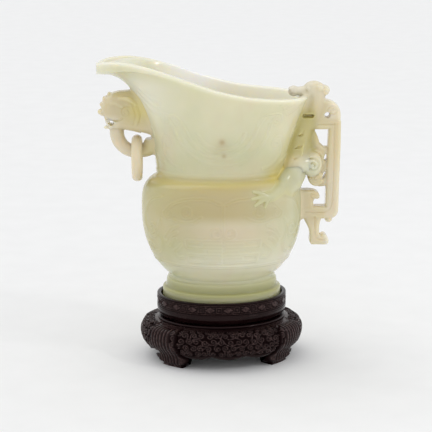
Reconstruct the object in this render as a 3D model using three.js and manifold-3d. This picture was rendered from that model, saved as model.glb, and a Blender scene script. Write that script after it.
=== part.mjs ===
// An archaistic jade pouring vessel on a carved hardwood stand.
// Millimetres, +Z up. X runs from the spout (-X) to the handle (+X), and Y runs across the vessel.
// The origin is on the table, under the middle of the overall length.

import * as THREE from "three";
import { mergeVertices } from "three/addons/utils/BufferGeometryUtils.js";
import Module from "manifold-3d";

const wasm = await Module();
wasm.setup();

// From the middle of the overall length to the axis of foot and stand
const AXIS_X = 1.55;

// Clearances
const JOINT_GAP = 0.3;
const FOOT_CLEARANCE = 1;
const RING_PLAY = 0.5;
const RING_HEADROOM = 1.2;

// Stand, heights from the table up
const LEG_CLEAR_HEIGHT = 6.5;
const APRON_HEIGHT = 18;
const BEAD_HEIGHT = 1.5;
const WAIST_HEIGHT = 6;
const RAIL_HEIGHT = 8;
const RECESS_DEPTH = 3.5;
const LEG_TOE_HEIGHT = 2.6;
const STAND_TURN = THREE.MathUtils.degToRad(5.5);

// Stand, widths measured outward from the oval of the vessel's foot
const RAIL_WALL = 2.5;
const RAIL_EDGE = 0.6;
const WAIST_COVE = 3.2;
const WAIST_BEND = 1.8;
const BEAD_INSET = 0.4;
const STAND_LEDGE = 8;
const APRON_BULGE = 9;
const APRON_TUCK = 3.2;
const APRON_WALL = 7.5;
const APRON_BACK_SWELL = 2.2;
const APRON_BACK_DROP = 8;
const LEG_PROUD = 0.7;
const LEG_WIDTH = 21;
const LEG_TOE_WIDTH = 13;
const LEG_TOE_DEPTH = 8;
const LEG_TOE_REACH = 1.8;
const LEG_TOE_KICK = 0.5;
const LEG_ANGLE = THREE.MathUtils.degToRad(35);
const SCALLOP_DEPTH = 1.6;
const SCALLOPS = 3;

// Outer face of aprons and legs, from the bead down: share of the bulge, share of the drop
const SWELL_PROFILE = [
  [0.65, 0.09],
  [1, 0.36],
  [0.82, 0.7],
];

// Foot of the vessel
const FOOT_HALF_LENGTH = 35.6;
const FOOT_HALF_DEPTH = 28.4;
const FOOT_RIM_HEIGHT = 8.2;
const FOOT_UPRIGHT = 4.1;
const FOOT_EDGE = 0.8;
const FOOT_FILLET = 1;
const FOOT_TAPER = 1;
const FOOT_STEP = 3.2;
const FOOT_HEIGHT = 15;
const FOOT_HOLLOW = 2;
const FOOT_RING_WIDTH = 7;
const WAIST_HALF_LENGTH = 31.2;

// Belly of the vessel
const BELLY_HALF_LENGTH = 47.8;
const BELLY_HALF_DEPTH = 37.5;
const BELLY_RISE = 40.2;
const BELLY_FULLNESS = 2.25;
const SHOULDER_RISE = 20;
const SHOULDER_FULLNESS = 3.6;
const BELLY_WALL = 5.5;
const INNER_SHOULDER_DROP = 7.2;
const FLOOR_THICKNESS = 8;

// Neck, rim and spout of the vessel
const NECK_HALF_LENGTH = 38.6;
const NECK_HALF_DEPTH = 28.6;
const NECK_LEDGE = 0.9;
const NECK_WALL = 4.5;
const MOUTH_HALF_DEPTH = 31;
const BACK_FULLNESS = 0.42;
const RIM_REACH = 51;
const RIM_RISE = 47.2;
const RIM_ROUND = 1.2;
const SPOUT_REACH = 73.7;
const SPOUT_SWEEP = 24.65;
const SWEEP_CENTRE = 22;
const SWEEP_LENGTH = 18;
const SPOUT_DROOP = 3.2;
const DROOP_LENGTH = 22;
const BACK_FLARE = 1.7;
const SIDE_FLARE = 1.2;
const SPOUT_FLARE = 0.32;
const SPOUT_LIP = 6;
const CHANNEL_FLARE = 0.24;

// Loose ring, the loop that carries it and the beast head above
const RING_STANDOFF = 2.4;
const RING_BORE_RADIUS = 8.5;
const RING_THICKNESS = 5.4;
const RING_WIDTH = 5.8;
const LOOP_BAR_RADIUS = 4;
const LOOP_BAR_RISE = 13.7;
const LOOP_RADIUS = 11.8;
const LOOP_END = THREE.MathUtils.degToRad(335);
const LOOP_ROOT = 6;
const BEAST_REACH = 21.8;
const BEAST_HEIGHT = 24.8;
const BEAST_HALF_WIDTH = 9.8;

// Pierced handle
const HANDLE_REACH = 70.6;
const HANDLE_BAR = 8.7;
const HANDLE_DEPTH = 10;
const HANDLE_EDGE = 1.4;
const HANDLE_CORNER = 6.1;
const UPPER_ARM_RISE = 26.2;
const UPPER_ARM_HEIGHT = 6.8;
const LOBE_WIDTH = 10.5;
const LOBE_DROP = 2.4;
const LOBE_HOLE_RADIUS = 1.1;
const LOBE_HOLE_OFFSET = 2.1;
const LOWER_ARM_DROP = 18.6;
const LOWER_ARM_HEIGHT = 8.6;
const HOOK_REACH = 12;
const HOOK_HEIGHT = 10;
const HOOK_ROOT = 7.5;
const HOOK_GAP = 2.6;
const SPUR_WIDTH = 7.2;
const SPUR_LENGTH = 15.8;
const SPUR_TOE = 4.8;
const SPUR_TOE_HEIGHT = 6.8;
const SPUR_STANDOFF = 5;
const SPUR_ROUND = 2;

// Climbing dragon between the handle and the vessel
const DRAGON_HALF_WIDTH = 6.2;
const DRAGON_NECK_RADIUS = 4.8;
const TORSO_RADIUS = 4.6;
const TORSO_STEP = 10;
const HAUNCH_RADIUS = 7.6;
const HAUNCH_HALF_WIDTH = 9.1;
const HAUNCH_STANDOFF = 6.1;
const HAUNCH_RISE = 2;
const HAUNCH_TIP = 3;
const LEG_RADIUS = 4.2;
const PAW_RADIUS = 4.4;
const PAW_ANGLE = THREE.MathUtils.degToRad(61);
const PAW_DROP = 9;
const TAIL_RADIUS = 2.7;
const TAIL_CURL_RADIUS = 5.6;
const TAIL_CURL_STRETCH = 1.45;
const TAIL_CURL_RISE = 2.6;
const TAIL_START = THREE.MathUtils.degToRad(148);
const TAIL_END = THREE.MathUtils.degToRad(-108);
const SKULL_LENGTH = 14;
const SKULL_HEIGHT = 10.4;
const SKULL_SINK = 1.6;
const SKULL_SET_BACK = 6;
const MUZZLE_RADIUS = 3.5;
const MUZZLE_OVERHANG = 3;

// Facets
const VESSEL_SIDES = 48;
const OVAL_STEPS = 56;
const LIMB_SIDES = 12;
const BEVEL_STEPS = 2;

// Heights and places worked out from the sizes above
const apronTop = LEG_CLEAR_HEIGHT + APRON_HEIGHT;
const beadTop = apronTop + BEAD_HEIGHT;
const waistTop = beadTop + WAIST_HEIGHT;
const railTop = waistTop + RAIL_HEIGHT;
const seatTop = railTop - RECESS_DEPTH;
const railOuter = FOOT_CLEARANCE + RAIL_WALL;
const apronEdgeOffset = railOuter + APRON_TUCK;
const footBottom = seatTop + JOINT_GAP;
const waistZ = footBottom + FOOT_HEIGHT;
const widestZ = waistZ + BELLY_RISE;
const neckZ = widestZ + SHOULDER_RISE;
const rimLow = neckZ + RIM_RISE;
const ringX = -(BELLY_HALF_LENGTH + RING_STANDOFF);
const barZ = neckZ + LOOP_BAR_RISE;
const ringTop = barZ + LOOP_BAR_RADIUS + RING_PLAY;
const chinZ = ringTop + RING_THICKNESS + RING_HEADROOM;
const handleInner = HANDLE_REACH - HANDLE_BAR;
const upperArmZ = neckZ + UPPER_ARM_RISE;
const upperArmTop = upperArmZ + UPPER_ARM_HEIGHT;
const lowerArmTop = neckZ - LOWER_ARM_DROP;
const lowerArmZ = lowerArmTop - LOWER_ARM_HEIGHT;

const jade = new THREE.MeshStandardMaterial({ color: 0xd9dab0, roughness: 0.3, metalness: 0 });
const hardwood = new THREE.MeshStandardMaterial({ color: 0x2b1a18, roughness: 0.45, metalness: 0 });

// The stand sits a few degrees askew under the vessel.
const vessel = new THREE.Group();
vessel.position.x = AXIS_X;
const stand = new THREE.Group();
stand.rotation.z = STAND_TURN;
vessel.add(stand);

function addPiece(group, name, geometry, material) {
  const mesh = new THREE.Mesh(geometry, material.clone());
  mesh.name = name;
  group.add(mesh);
}

// A closed mesh from points and triangles, with its faces turned outward.
function closedMesh(points, triangles) {
  let volume = 0;
  for (let i = 0; i < triangles.length; i += 3) {
    const cross = new THREE.Vector3().crossVectors(points[triangles[i + 1]], points[triangles[i + 2]]);
    volume += points[triangles[i]].dot(cross);
  }
  const outward = volume > 0 ? triangles : triangles.toReversed();
  const geometry = new THREE.BufferGeometry();
  geometry.setAttribute("position", new THREE.Float32BufferAttribute(points.flatMap((p) => p.toArray()), 3));
  geometry.setIndex(outward);
  return geometry;
}

function stitch(faces, from, to, count) {
  for (let j = 0; j < count; j++) {
    const next = (j + 1) % count;
    faces.push(from + j, from + next, to + next, from + j, to + next, to + j);
  }
}

// A skin over a row of rings, closed at both ends by a fan.
function loft(rings) {
  const count = rings[0].length;
  const points = rings.flat();
  const faces = [];
  for (let i = 0; i + 1 < rings.length; i++) {
    stitch(faces, i * count, (i + 1) * count, count);
  }
  const lastRing = (rings.length - 1) * count;
  const ends = [rings[0], rings.at(-1)].map((ring) => {
    const centre = ring.reduce((sum, p) => sum.add(p), new THREE.Vector3()).divideScalar(count);
    return points.push(centre) - 1;
  });
  for (let j = 0; j < count; j++) {
    const next = (j + 1) % count;
    faces.push(ends[0], next, j);
    faces.push(ends[1], lastRing + j, lastRing + next);
  }
  return closedMesh(points, faces);
}

// A closed profile carried through a row of sections, either right round or with flat ends.
// The outline of the ends is given clockwise.
function sweep(sections, endOutline) {
  const count = sections[0].length;
  const points = sections.flat();
  const faces = [];
  for (let i = 0; i + 1 < sections.length; i++) {
    stitch(faces, i * count, (i + 1) * count, count);
  }
  const lastSection = (sections.length - 1) * count;
  if (endOutline) {
    for (const [a, b, c] of THREE.ShapeUtils.triangulateShape(endOutline, [])) {
      faces.push(a, b, c);
      faces.push(lastSection + c, lastSection + b, lastSection + a);
    }
  } else {
    stitch(faces, lastSection, 0, count);
  }
  return closedMesh(points, faces);
}

function solid(geometry) {
  return new wasm.Manifold(
    new wasm.Mesh({
      numProp: 3,
      vertProperties: new Float32Array(geometry.attributes.position.array),
      triVerts: new Uint32Array(geometry.index.array),
    }),
  );
}

function geometryOf(manifold) {
  const mesh = manifold.getMesh();
  const geometry = new THREE.BufferGeometry();
  geometry.setAttribute("position", new THREE.BufferAttribute(mesh.vertProperties, 3));
  geometry.setIndex(new THREE.BufferAttribute(mesh.triVerts, 1));
  return geometry;
}

// A round limb through stations of [x, y, z, half width, half height], ending in flat fans.
function limb(stations, steps, grow = 0) {
  const path = new THREE.CatmullRomCurve3(stations.map(([x, y, z]) => new THREE.Vector3(x, y, z)));
  const girth = new THREE.CatmullRomCurve3(stations.map(([, , , w, h]) => new THREE.Vector3(w, h, 0)));
  const across = new THREE.Vector3(0, 1, 0);
  const rings = [];
  for (let i = 0; i <= steps; i++) {
    const tangent = path.getTangent(i / steps);
    const side = across.clone().addScaledVector(tangent, -tangent.y).normalize();
    const normal = new THREE.Vector3().crossVectors(tangent, side);
    const centre = path.getPoint(i / steps);
    const size = girth.getPoint(i / steps);
    rings.push(
      Array.from({ length: LIMB_SIDES }, (_, j) => {
        const angle = (2 * Math.PI * j) / LIMB_SIDES;
        const point = centre.clone().addScaledVector(side, (size.x + grow) * Math.cos(angle));
        return point.addScaledVector(normal, (size.y + grow) * Math.sin(angle));
      }),
    );
  }
  return solid(loft(rings));
}

function ellipsoid(x, y, z, rx, ry, rz, grow = 0) {
  const ball = new THREE.SphereGeometry(1, LIMB_SIDES, LIMB_SIDES / 2);
  ball.scale(rx + grow, ry + grow, rz + grow);
  ball.translate(x, y, z);
  return solid(positionsOnly(ball));
}

function positionsOnly(geometry) {
  geometry.deleteAttribute("normal");
  geometry.deleteAttribute("uv");
  return mergeVertices(geometry, 1e-4);
}

// An outline in the XZ plane, given a thickness across Y and eased edges.
function plate(shape) {
  const geometry = new THREE.ExtrudeGeometry(shape, {
    depth: HANDLE_DEPTH - 2 * HANDLE_EDGE,
    bevelThickness: HANDLE_EDGE,
    bevelSize: HANDLE_EDGE,
    bevelOffset: -HANDLE_EDGE,
    bevelSegments: BEVEL_STEPS,
    curveSegments: LIMB_SIDES / 2,
  });
  geometry.translate(0, 0, HANDLE_EDGE - HANDLE_DEPTH / 2);
  geometry.rotateX(Math.PI / 2);
  return solid(positionsOnly(geometry));
}

// Stand

function ovalPoint(offset, z, angle) {
  const x = (FOOT_HALF_LENGTH + offset) * Math.cos(angle);
  const y = (FOOT_HALF_DEPTH + offset) * Math.sin(angle);
  return new THREE.Vector3(x, y, z);
}

// A ring whose profile of [offset, z] points goes right round the foot's oval.
function ovalRing(profile) {
  const sections = Array.from({ length: OVAL_STEPS }, (_, i) => {
    const angle = (2 * Math.PI * i) / OVAL_STEPS;
    return profile.map(([offset, z]) => ovalPoint(offset, z, angle));
  });
  return sweep(sections);
}

function galleryRail() {
  return ovalRing([
    [FOOT_CLEARANCE, waistTop],
    [railOuter, waistTop],
    [railOuter, railTop - RAIL_EDGE],
    [railOuter - RAIL_EDGE, railTop],
    [FOOT_CLEARANCE + RAIL_EDGE, railTop],
    [FOOT_CLEARANCE, railTop - RAIL_EDGE],
  ]);
}

function seatPanel() {
  const offset = FOOT_CLEARANCE - JOINT_GAP;
  const rings = [waistTop, seatTop].map((z) =>
    Array.from({ length: OVAL_STEPS }, (_, i) => ovalPoint(offset, z, (2 * Math.PI * i) / OVAL_STEPS)),
  );
  return loft(rings);
}

function waistRing() {
  const cove = new THREE.QuadraticBezierCurve(
    new THREE.Vector2(railOuter - WAIST_COVE, beadTop),
    new THREE.Vector2(railOuter, beadTop + WAIST_BEND),
    new THREE.Vector2(railOuter, waistTop),
  );
  const coveSteps = 4;
  const outer = cove.getPoints(coveSteps).map((p) => [p.x, p.y]);
  return ovalRing([[-STAND_LEDGE, waistTop], [-STAND_LEDGE, beadTop], ...outer]);
}

function beadRing() {
  const radius = BEAD_HEIGHT / 2;
  const centre = railOuter - BEAD_INSET - radius;
  const noseSteps = 4;
  const nose = Array.from({ length: noseSteps + 1 }, (_, i) => {
    const angle = -Math.PI / 2 + (Math.PI * i) / noseSteps;
    return [centre + radius * Math.cos(angle), apronTop + radius + radius * Math.sin(angle)];
  });
  return ovalRing([[-STAND_LEDGE, beadTop], [-STAND_LEDGE, apronTop], ...nose]);
}

// The swelling outer face shared by aprons and legs, from the bead down to the aprons' lower edge.
function swellingFace(proud, lowerZ) {
  const drop = apronTop - lowerZ;
  const swell = SWELL_PROFILE.map(([bulge, down]) => {
    return new THREE.Vector2(railOuter + bulge * APRON_BULGE + proud, apronTop - down * drop);
  });
  const top = new THREE.Vector2(railOuter - BEAD_INSET, apronTop);
  const face = new THREE.SplineCurve([top, ...swell, new THREE.Vector2(apronEdgeOffset + proud, lowerZ)]);
  const faceSteps = 8;
  return face.getPoints(faceSteps).map((p) => [p.x, p.y]);
}

// Apron edge: a row of shallow scallops that vanish at the legs.
function apronEdge(u) {
  const wave = Math.abs(Math.sin((SCALLOPS * Math.PI * (u + 1)) / 2));
  return LEG_CLEAR_HEIGHT + SCALLOP_DEPTH * (1 - wave);
}

// Length of the aprons' lower edge for each radian of the oval's angle.
function ovalSpeed(angle) {
  const across = (FOOT_HALF_LENGTH + apronEdgeOffset) * Math.sin(angle);
  const along = (FOOT_HALF_DEPTH + apronEdgeOffset) * Math.cos(angle);
  return Math.hypot(across, along);
}

const legHalfAngle = LEG_WIDTH / 2 / ovalSpeed(LEG_ANGLE);
const legGapAngle = JOINT_GAP / ovalSpeed(LEG_ANGLE);

function apronBoard(middle, halfAngle) {
  const steps = 12;
  const backOffset = apronEdgeOffset - APRON_WALL;
  const profileAt = (u) => {
    const face = swellingFace(0, apronEdge(u));
    const back = [
      [backOffset, apronEdge(u)],
      [backOffset + APRON_BACK_SWELL, apronTop - APRON_BACK_DROP],
      [-STAND_LEDGE, apronTop],
    ];
    return [...face, ...back];
  };
  const sections = Array.from({ length: steps + 1 }, (_, i) => {
    const u = (2 * i) / steps - 1;
    return profileAt(u).map(([offset, z]) => ovalPoint(offset, z, middle + u * halfAngle));
  });
  return sweep(sections, profileAt(-1).map(([x, y]) => new THREE.Vector2(x, y)));
}

function standLeg(middle) {
  const steps = 6;
  const backOffset = apronEdgeOffset - APRON_WALL;
  const toe = railOuter + LEG_TOE_REACH + LEG_PROUD;
  const profile = [
    ...swellingFace(LEG_PROUD, LEG_CLEAR_HEIGHT),
    [toe, LEG_TOE_HEIGHT],
    [toe + LEG_TOE_KICK, 0],
    [toe - LEG_TOE_DEPTH, 0],
    [backOffset, LEG_CLEAR_HEIGHT],
    [backOffset + APRON_BACK_SWELL, apronTop - APRON_BACK_DROP],
    [-STAND_LEDGE, apronTop],
  ];
  const halfAngleAt = (z) => {
    const share = Math.min(1, z / LEG_CLEAR_HEIGHT);
    return legHalfAngle * THREE.MathUtils.lerp(LEG_TOE_WIDTH / LEG_WIDTH, 1, share);
  };
  const sections = Array.from({ length: steps + 1 }, (_, i) => {
    const u = (2 * i) / steps - 1;
    return profile.map(([offset, z]) => ovalPoint(offset, z, middle + u * halfAngleAt(z)));
  });
  return sweep(sections, profile.map(([x, y]) => new THREE.Vector2(x, y)));
}

// Vessel

// The rim rises from the handle to the spout in one sweep and dips at the tip.
function rimHeight(x) {
  const sweepUp = SPOUT_SWEEP / (1 + Math.exp((x + SWEEP_CENTRE) / SWEEP_LENGTH));
  const past = Math.max(0, (DROOP_LENGTH - SPOUT_REACH - x) / DROOP_LENGTH);
  return rimLow + sweepUp - SPOUT_DROOP * past * past;
}

// Belly half length at a height, from two superellipses that meet at the widest section.
function superellipse(share, power) {
  return Math.pow(1 - Math.pow(share, power), 1 / power);
}

const lowerDepth = BELLY_RISE / superellipse(WAIST_HALF_LENGTH / BELLY_HALF_LENGTH, BELLY_FULLNESS);
const shoulderEnd = NECK_HALF_LENGTH + NECK_LEDGE;
const upperDepth = SHOULDER_RISE / superellipse(shoulderEnd / BELLY_HALF_LENGTH, SHOULDER_FULLNESS);

function bellyShare(z) {
  const below = z < widestZ;
  const share = Math.abs(z - widestZ) / (below ? lowerDepth : upperDepth);
  return superellipse(share, below ? BELLY_FULLNESS : SHOULDER_FULLNESS);
}

function bellyPoint(z, angle, grow = 0) {
  const share = bellyShare(z);
  const x = (BELLY_HALF_LENGTH * share + grow) * Math.cos(angle);
  const y = (BELLY_HALF_DEPTH * share + grow) * Math.sin(angle);
  const lift = z > widestZ ? grow * Math.pow((z - widestZ) / SHOULDER_RISE, 2) : 0;
  return new THREE.Vector3(x, y, z + lift);
}

// A point of the neck: t runs from the shoulder (0) to the rim (1). Inset is the wall, for the inside.
// The back and sides flare by a power of t. The spout opens ever faster and ends in an upright lip.
// Towards the handle the oval grows fuller than an ellipse as it rises.
function neckPoint(t, angle, inset) {
  const c = Math.cos(angle);
  const s = Math.sin(angle);
  const reach = c < 0 ? SPOUT_REACH : RIM_REACH;
  const height = rimHeight(reach * c) - RIM_ROUND - neckZ;
  let flare = Math.pow(t, SIDE_FLARE + (BACK_FLARE - SIDE_FLARE) * c * c);
  if (c < 0) {
    const lip = inset > 0 ? 0 : SPOUT_LIP * c * c;
    const opening = Math.min(1, (t * height) / (height - lip));
    const spoutFlare = 1 - Math.pow(1 - opening, inset > 0 ? CHANNEL_FLARE : SPOUT_FLARE);
    flare = THREE.MathUtils.lerp(flare, spoutFlare, c * c);
  }
  const halfLength = THREE.MathUtils.lerp(NECK_HALF_LENGTH, reach, flare) - inset;
  const fullness = 1 + BACK_FULLNESS * t * Math.pow(Math.max(0, c), 2);
  const halfDepth = THREE.MathUtils.lerp(NECK_HALF_DEPTH, MOUTH_HALF_DEPTH, t) * fullness - inset;
  return new THREE.Vector3(halfLength * c, halfDepth * s, neckZ + t * height);
}

function aroundVessel(pointAt) {
  return Array.from({ length: VESSEL_SIDES }, (_, j) => pointAt((2 * Math.PI * j) / VESSEL_SIDES));
}

function footRing(halfLength, z, grow) {
  const halfDepth = halfLength - FOOT_HALF_LENGTH + FOOT_HALF_DEPTH;
  return aroundVessel(
    (a) => new THREE.Vector3((halfLength + grow) * Math.cos(a), (halfDepth + grow) * Math.sin(a), z),
  );
}

function outerRings(grow) {
  const rings = [
    footRing(FOOT_HALF_LENGTH - FOOT_EDGE, footBottom, grow),
    footRing(FOOT_HALF_LENGTH, footBottom + FOOT_EDGE, grow),
    footRing(FOOT_HALF_LENGTH, footBottom + FOOT_UPRIGHT, grow),
    footRing(FOOT_HALF_LENGTH - FOOT_TAPER, footBottom + FOOT_RIM_HEIGHT, grow),
    footRing(FOOT_HALF_LENGTH - FOOT_STEP, footBottom + FOOT_RIM_HEIGHT + FOOT_FILLET, grow),
  ];
  const bellySteps = 9;
  for (let i = 0; i <= bellySteps; i++) {
    const z = widestZ - BELLY_RISE * Math.cos((0.5 * Math.PI * i) / bellySteps);
    rings.push(aroundVessel((a) => bellyPoint(z, a, grow)));
  }
  const shoulderSteps = 7;
  for (let i = 1; i <= shoulderSteps; i++) {
    const z = widestZ + SHOULDER_RISE * Math.sin((0.5 * Math.PI * i) / shoulderSteps);
    rings.push(aroundVessel((a) => bellyPoint(z, a, grow)));
  }
  const neckSteps = 10;
  for (let i = 0; i <= neckSteps; i++) {
    const t = Math.sin((0.5 * Math.PI * i) / neckSteps);
    rings.push(aroundVessel((a) => neckPoint(t, a, -grow)));
  }
  return rings;
}

// The rim's rounded crest, midway between the outside and the inside.
function crestPoint(angle, grow) {
  const middle = neckPoint(1, angle, 0).lerp(neckPoint(1, angle, NECK_WALL), 0.5);
  middle.z += RIM_ROUND + grow;
  return middle;
}

function innerRings(grow) {
  const rings = [];
  const neckSteps = 6;
  for (let i = 0; i <= neckSteps; i++) {
    const t = Math.cos((0.5 * Math.PI * i) / neckSteps);
    rings.push(aroundVessel((a) => neckPoint(t, a, NECK_WALL + grow)));
  }
  const top = neckZ - INNER_SHOULDER_DROP;
  const floor = waistZ + FLOOR_THICKNESS;
  const bellySteps = 6;
  for (let i = 0; i <= bellySteps; i++) {
    const z = floor + (top - floor) * Math.cos((0.5 * Math.PI * i) / bellySteps);
    rings.push(aroundVessel((a) => bellyPoint(z, a, -BELLY_WALL).setZ(z)));
  }
  return rings;
}

function underside() {
  const inner = FOOT_HALF_LENGTH - FOOT_RING_WIDTH;
  return [footRing(inner, footBottom + FOOT_HOLLOW, 0), footRing(inner, footBottom, 0)];
}

// The hollow vessel. Grown outward, it cuts clearance into what sits over its rim.
function vesselWall(grow) {
  const crest = aroundVessel((a) => crestPoint(a, grow));
  return loft([...underside(), ...outerRings(grow), crest, ...innerRings(grow)]);
}

// The vessel's outside alone, filled, which trims what is carved against it.
const vesselBlock = solid(loft(outerRings(JOINT_GAP)));

// Outside of the neck on the handle side, at a height.
function backWall(z) {
  return neckPoint((z - neckZ) / (rimLow - RIM_ROUND - neckZ), 0, 0).x;
}

// Loose ring, loop and beast head

function looseRing() {
  const middle = RING_BORE_RADIUS + RING_THICKNESS / 2;
  const section = Array.from({ length: LIMB_SIDES + 1 }, (_, i) => {
    const angle = (2 * Math.PI * (i % LIMB_SIDES)) / LIMB_SIDES;
    const radius = middle + (RING_THICKNESS / 2) * Math.cos(angle);
    return new THREE.Vector2(radius, (RING_WIDTH / 2) * Math.sin(angle));
  });
  const turnSteps = 36;
  const ring = new THREE.LatheGeometry(section, turnSteps);
  ring.rotateZ(Math.PI / 2);
  ring.translate(ringX, 0, ringTop - RING_BORE_RADIUS);
  return solid(positionsOnly(ring));
}

// Each station holds its share of the length, its bottom and top as shares of the height, and its width.
function beastHead(grow) {
  const root = -(NECK_HALF_LENGTH - NECK_WALL / 2);
  const nose = ringX - BEAST_REACH;
  const station = (share, bottom, top, width) => [
    THREE.MathUtils.lerp(root, nose, share),
    0,
    chinZ + (BEAST_HEIGHT * (bottom + top)) / 2,
    BEAST_HALF_WIDTH * width,
    (BEAST_HEIGHT * (top - bottom)) / 2,
  ];
  const lengthSteps = 14;
  const stations = [
    station(0, 0, 1, 0.8),
    station(0.32, 0, 1.02, 0.95),
    station(0.62, 0.03, 1.01, 1),
    station(0.82, 0.16, 0.97, 0.85),
    station(0.95, 0.32, 0.84, 0.6),
    station(1, 0.46, 0.66, 0.2),
  ];
  return limb(stations, lengthSteps, grow);
}

function ringLoop() {
  const centreZ = barZ + LOOP_RADIUS;
  const arcSteps = 10;
  const stations = [[ringX - LOOP_RADIUS, 0, chinZ + LOOP_ROOT, LOOP_BAR_RADIUS, LOOP_BAR_RADIUS]];
  for (let i = 0; i <= arcSteps; i++) {
    const angle = THREE.MathUtils.lerp(Math.PI, LOOP_END, i / arcSteps);
    const x = ringX + LOOP_RADIUS * Math.cos(angle);
    const z = centreZ + LOOP_RADIUS * Math.sin(angle);
    stations.push([x, 0, z, LOOP_BAR_RADIUS, LOOP_BAR_RADIUS]);
  }
  return limb(stations, 2 * stations.length);
}

// Handle

function handleFrame() {
  const cornerX = HANDLE_REACH - HANDLE_CORNER;
  const cornerZ = lowerArmZ + HANDLE_CORNER;
  const frame = new THREE.Shape();
  frame.moveTo(NECK_HALF_LENGTH, upperArmTop);
  frame.lineTo(HANDLE_REACH, upperArmTop);
  frame.lineTo(HANDLE_REACH, cornerZ);
  frame.absarc(cornerX, cornerZ, HANDLE_CORNER, 0, -Math.PI / 2, true);
  frame.lineTo(BELLY_HALF_LENGTH - BELLY_WALL, lowerArmZ);
  frame.lineTo(BELLY_HALF_LENGTH - BELLY_WALL, lowerArmTop);
  frame.lineTo(handleInner, lowerArmTop);
  frame.lineTo(handleInner, upperArmZ);
  frame.lineTo(NECK_HALF_LENGTH, upperArmZ);

  const lobeTop = rimLow - LOBE_DROP;
  const lobeX = HANDLE_REACH - LOBE_WIDTH / 2;
  const lobeZ = (upperArmTop - UPPER_ARM_HEIGHT / 2 + lobeTop) / 2;
  const lobe = new THREE.Shape();
  lobe.absellipse(lobeX, lobeZ, LOBE_WIDTH / 2, lobeTop - lobeZ, 0, 2 * Math.PI);
  const drill = new THREE.CylinderGeometry(LOBE_HOLE_RADIUS, LOBE_HOLE_RADIUS, 2 * HANDLE_DEPTH, LIMB_SIDES);
  drill.translate(lobeX - LOBE_HOLE_OFFSET, 0, lobeZ);

  const hookEnd = BELLY_HALF_LENGTH + HOOK_REACH;
  const hook = new THREE.Shape();
  hook.moveTo(BELLY_HALF_LENGTH - BELLY_WALL, lowerArmTop - HOOK_GAP);
  hook.lineTo(BELLY_HALF_LENGTH + HOOK_ROOT, lowerArmTop - HOOK_GAP);
  hook.lineTo(BELLY_HALF_LENGTH + HOOK_ROOT, lowerArmTop + HOOK_GAP);
  hook.lineTo(hookEnd, lowerArmTop + HOOK_GAP);
  hook.quadraticCurveTo(hookEnd, lowerArmTop + HOOK_HEIGHT, BELLY_HALF_LENGTH, lowerArmTop + HOOK_HEIGHT);
  hook.lineTo(BELLY_HALF_LENGTH - BELLY_WALL, lowerArmTop + HOOK_HEIGHT);

  const spurLeft = BELLY_HALF_LENGTH + SPUR_STANDOFF;
  const spurRight = spurLeft + SPUR_WIDTH;
  const toeEnd = spurRight + SPUR_TOE;
  const spurBottom = lowerArmZ - SPUR_LENGTH;
  const spur = new THREE.Shape();
  spur.moveTo(spurLeft, lowerArmTop);
  spur.lineTo(spurLeft, spurBottom + SPUR_ROUND);
  spur.quadraticCurveTo(spurLeft, spurBottom, spurLeft + SPUR_ROUND, spurBottom);
  spur.lineTo(toeEnd - SPUR_ROUND, spurBottom);
  spur.quadraticCurveTo(toeEnd, spurBottom, toeEnd, spurBottom + SPUR_ROUND);
  spur.quadraticCurveTo(toeEnd, spurBottom + SPUR_TOE_HEIGHT, spurRight, spurBottom + SPUR_TOE_HEIGHT);
  spur.lineTo(spurRight, lowerArmTop);

  const joined = [lobe, hook, spur].reduce((sum, shape) => sum.add(plate(shape)), plate(frame));
  return joined.subtract(solid(positionsOnly(drill)));
}

// Climbing dragon

function dragonTorso(grow) {
  const along = (z, standoff, halfWidth, radius) => [backWall(z) + standoff, 0, z, halfWidth, radius];
  const stations = [
    along((upperArmZ + upperArmTop) / 2, TORSO_RADIUS, DRAGON_HALF_WIDTH, TORSO_RADIUS),
    along((upperArmZ + upperArmTop) / 2 - TORSO_STEP, TORSO_RADIUS, DRAGON_HALF_WIDTH, TORSO_RADIUS),
    along(neckZ + TORSO_STEP, TORSO_RADIUS, DRAGON_HALF_WIDTH, TORSO_RADIUS),
    along(neckZ + HAUNCH_RISE, HAUNCH_STANDOFF, HAUNCH_HALF_WIDTH, HAUNCH_RADIUS),
    along(neckZ, HAUNCH_RADIUS, HAUNCH_RADIUS, HAUNCH_TIP),
  ];
  return limb(stations, LIMB_SIDES, grow);
}

function dragonNeck() {
  const x = HANDLE_REACH - LOBE_WIDTH - JOINT_GAP - DRAGON_NECK_RADIUS;
  const stations = [upperArmZ, upperArmTop, rimLow, rimLow + SKULL_HEIGHT / 2].map((z) => {
    return [x, 0, z, DRAGON_NECK_RADIUS, DRAGON_NECK_RADIUS];
  });
  return limb(stations, LIMB_SIDES / 2);
}

// The slice of the handle's upper arm, where the dragon's neck ends and its torso begins.
function armSlice() {
  const height = UPPER_ARM_HEIGHT + 2 * JOINT_GAP;
  const box = new THREE.BoxGeometry(HANDLE_REACH, 4 * DRAGON_HALF_WIDTH, height);
  box.translate(HANDLE_REACH, 0, (upperArmZ + upperArmTop) / 2);
  return solid(positionsOnly(box));
}

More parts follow.
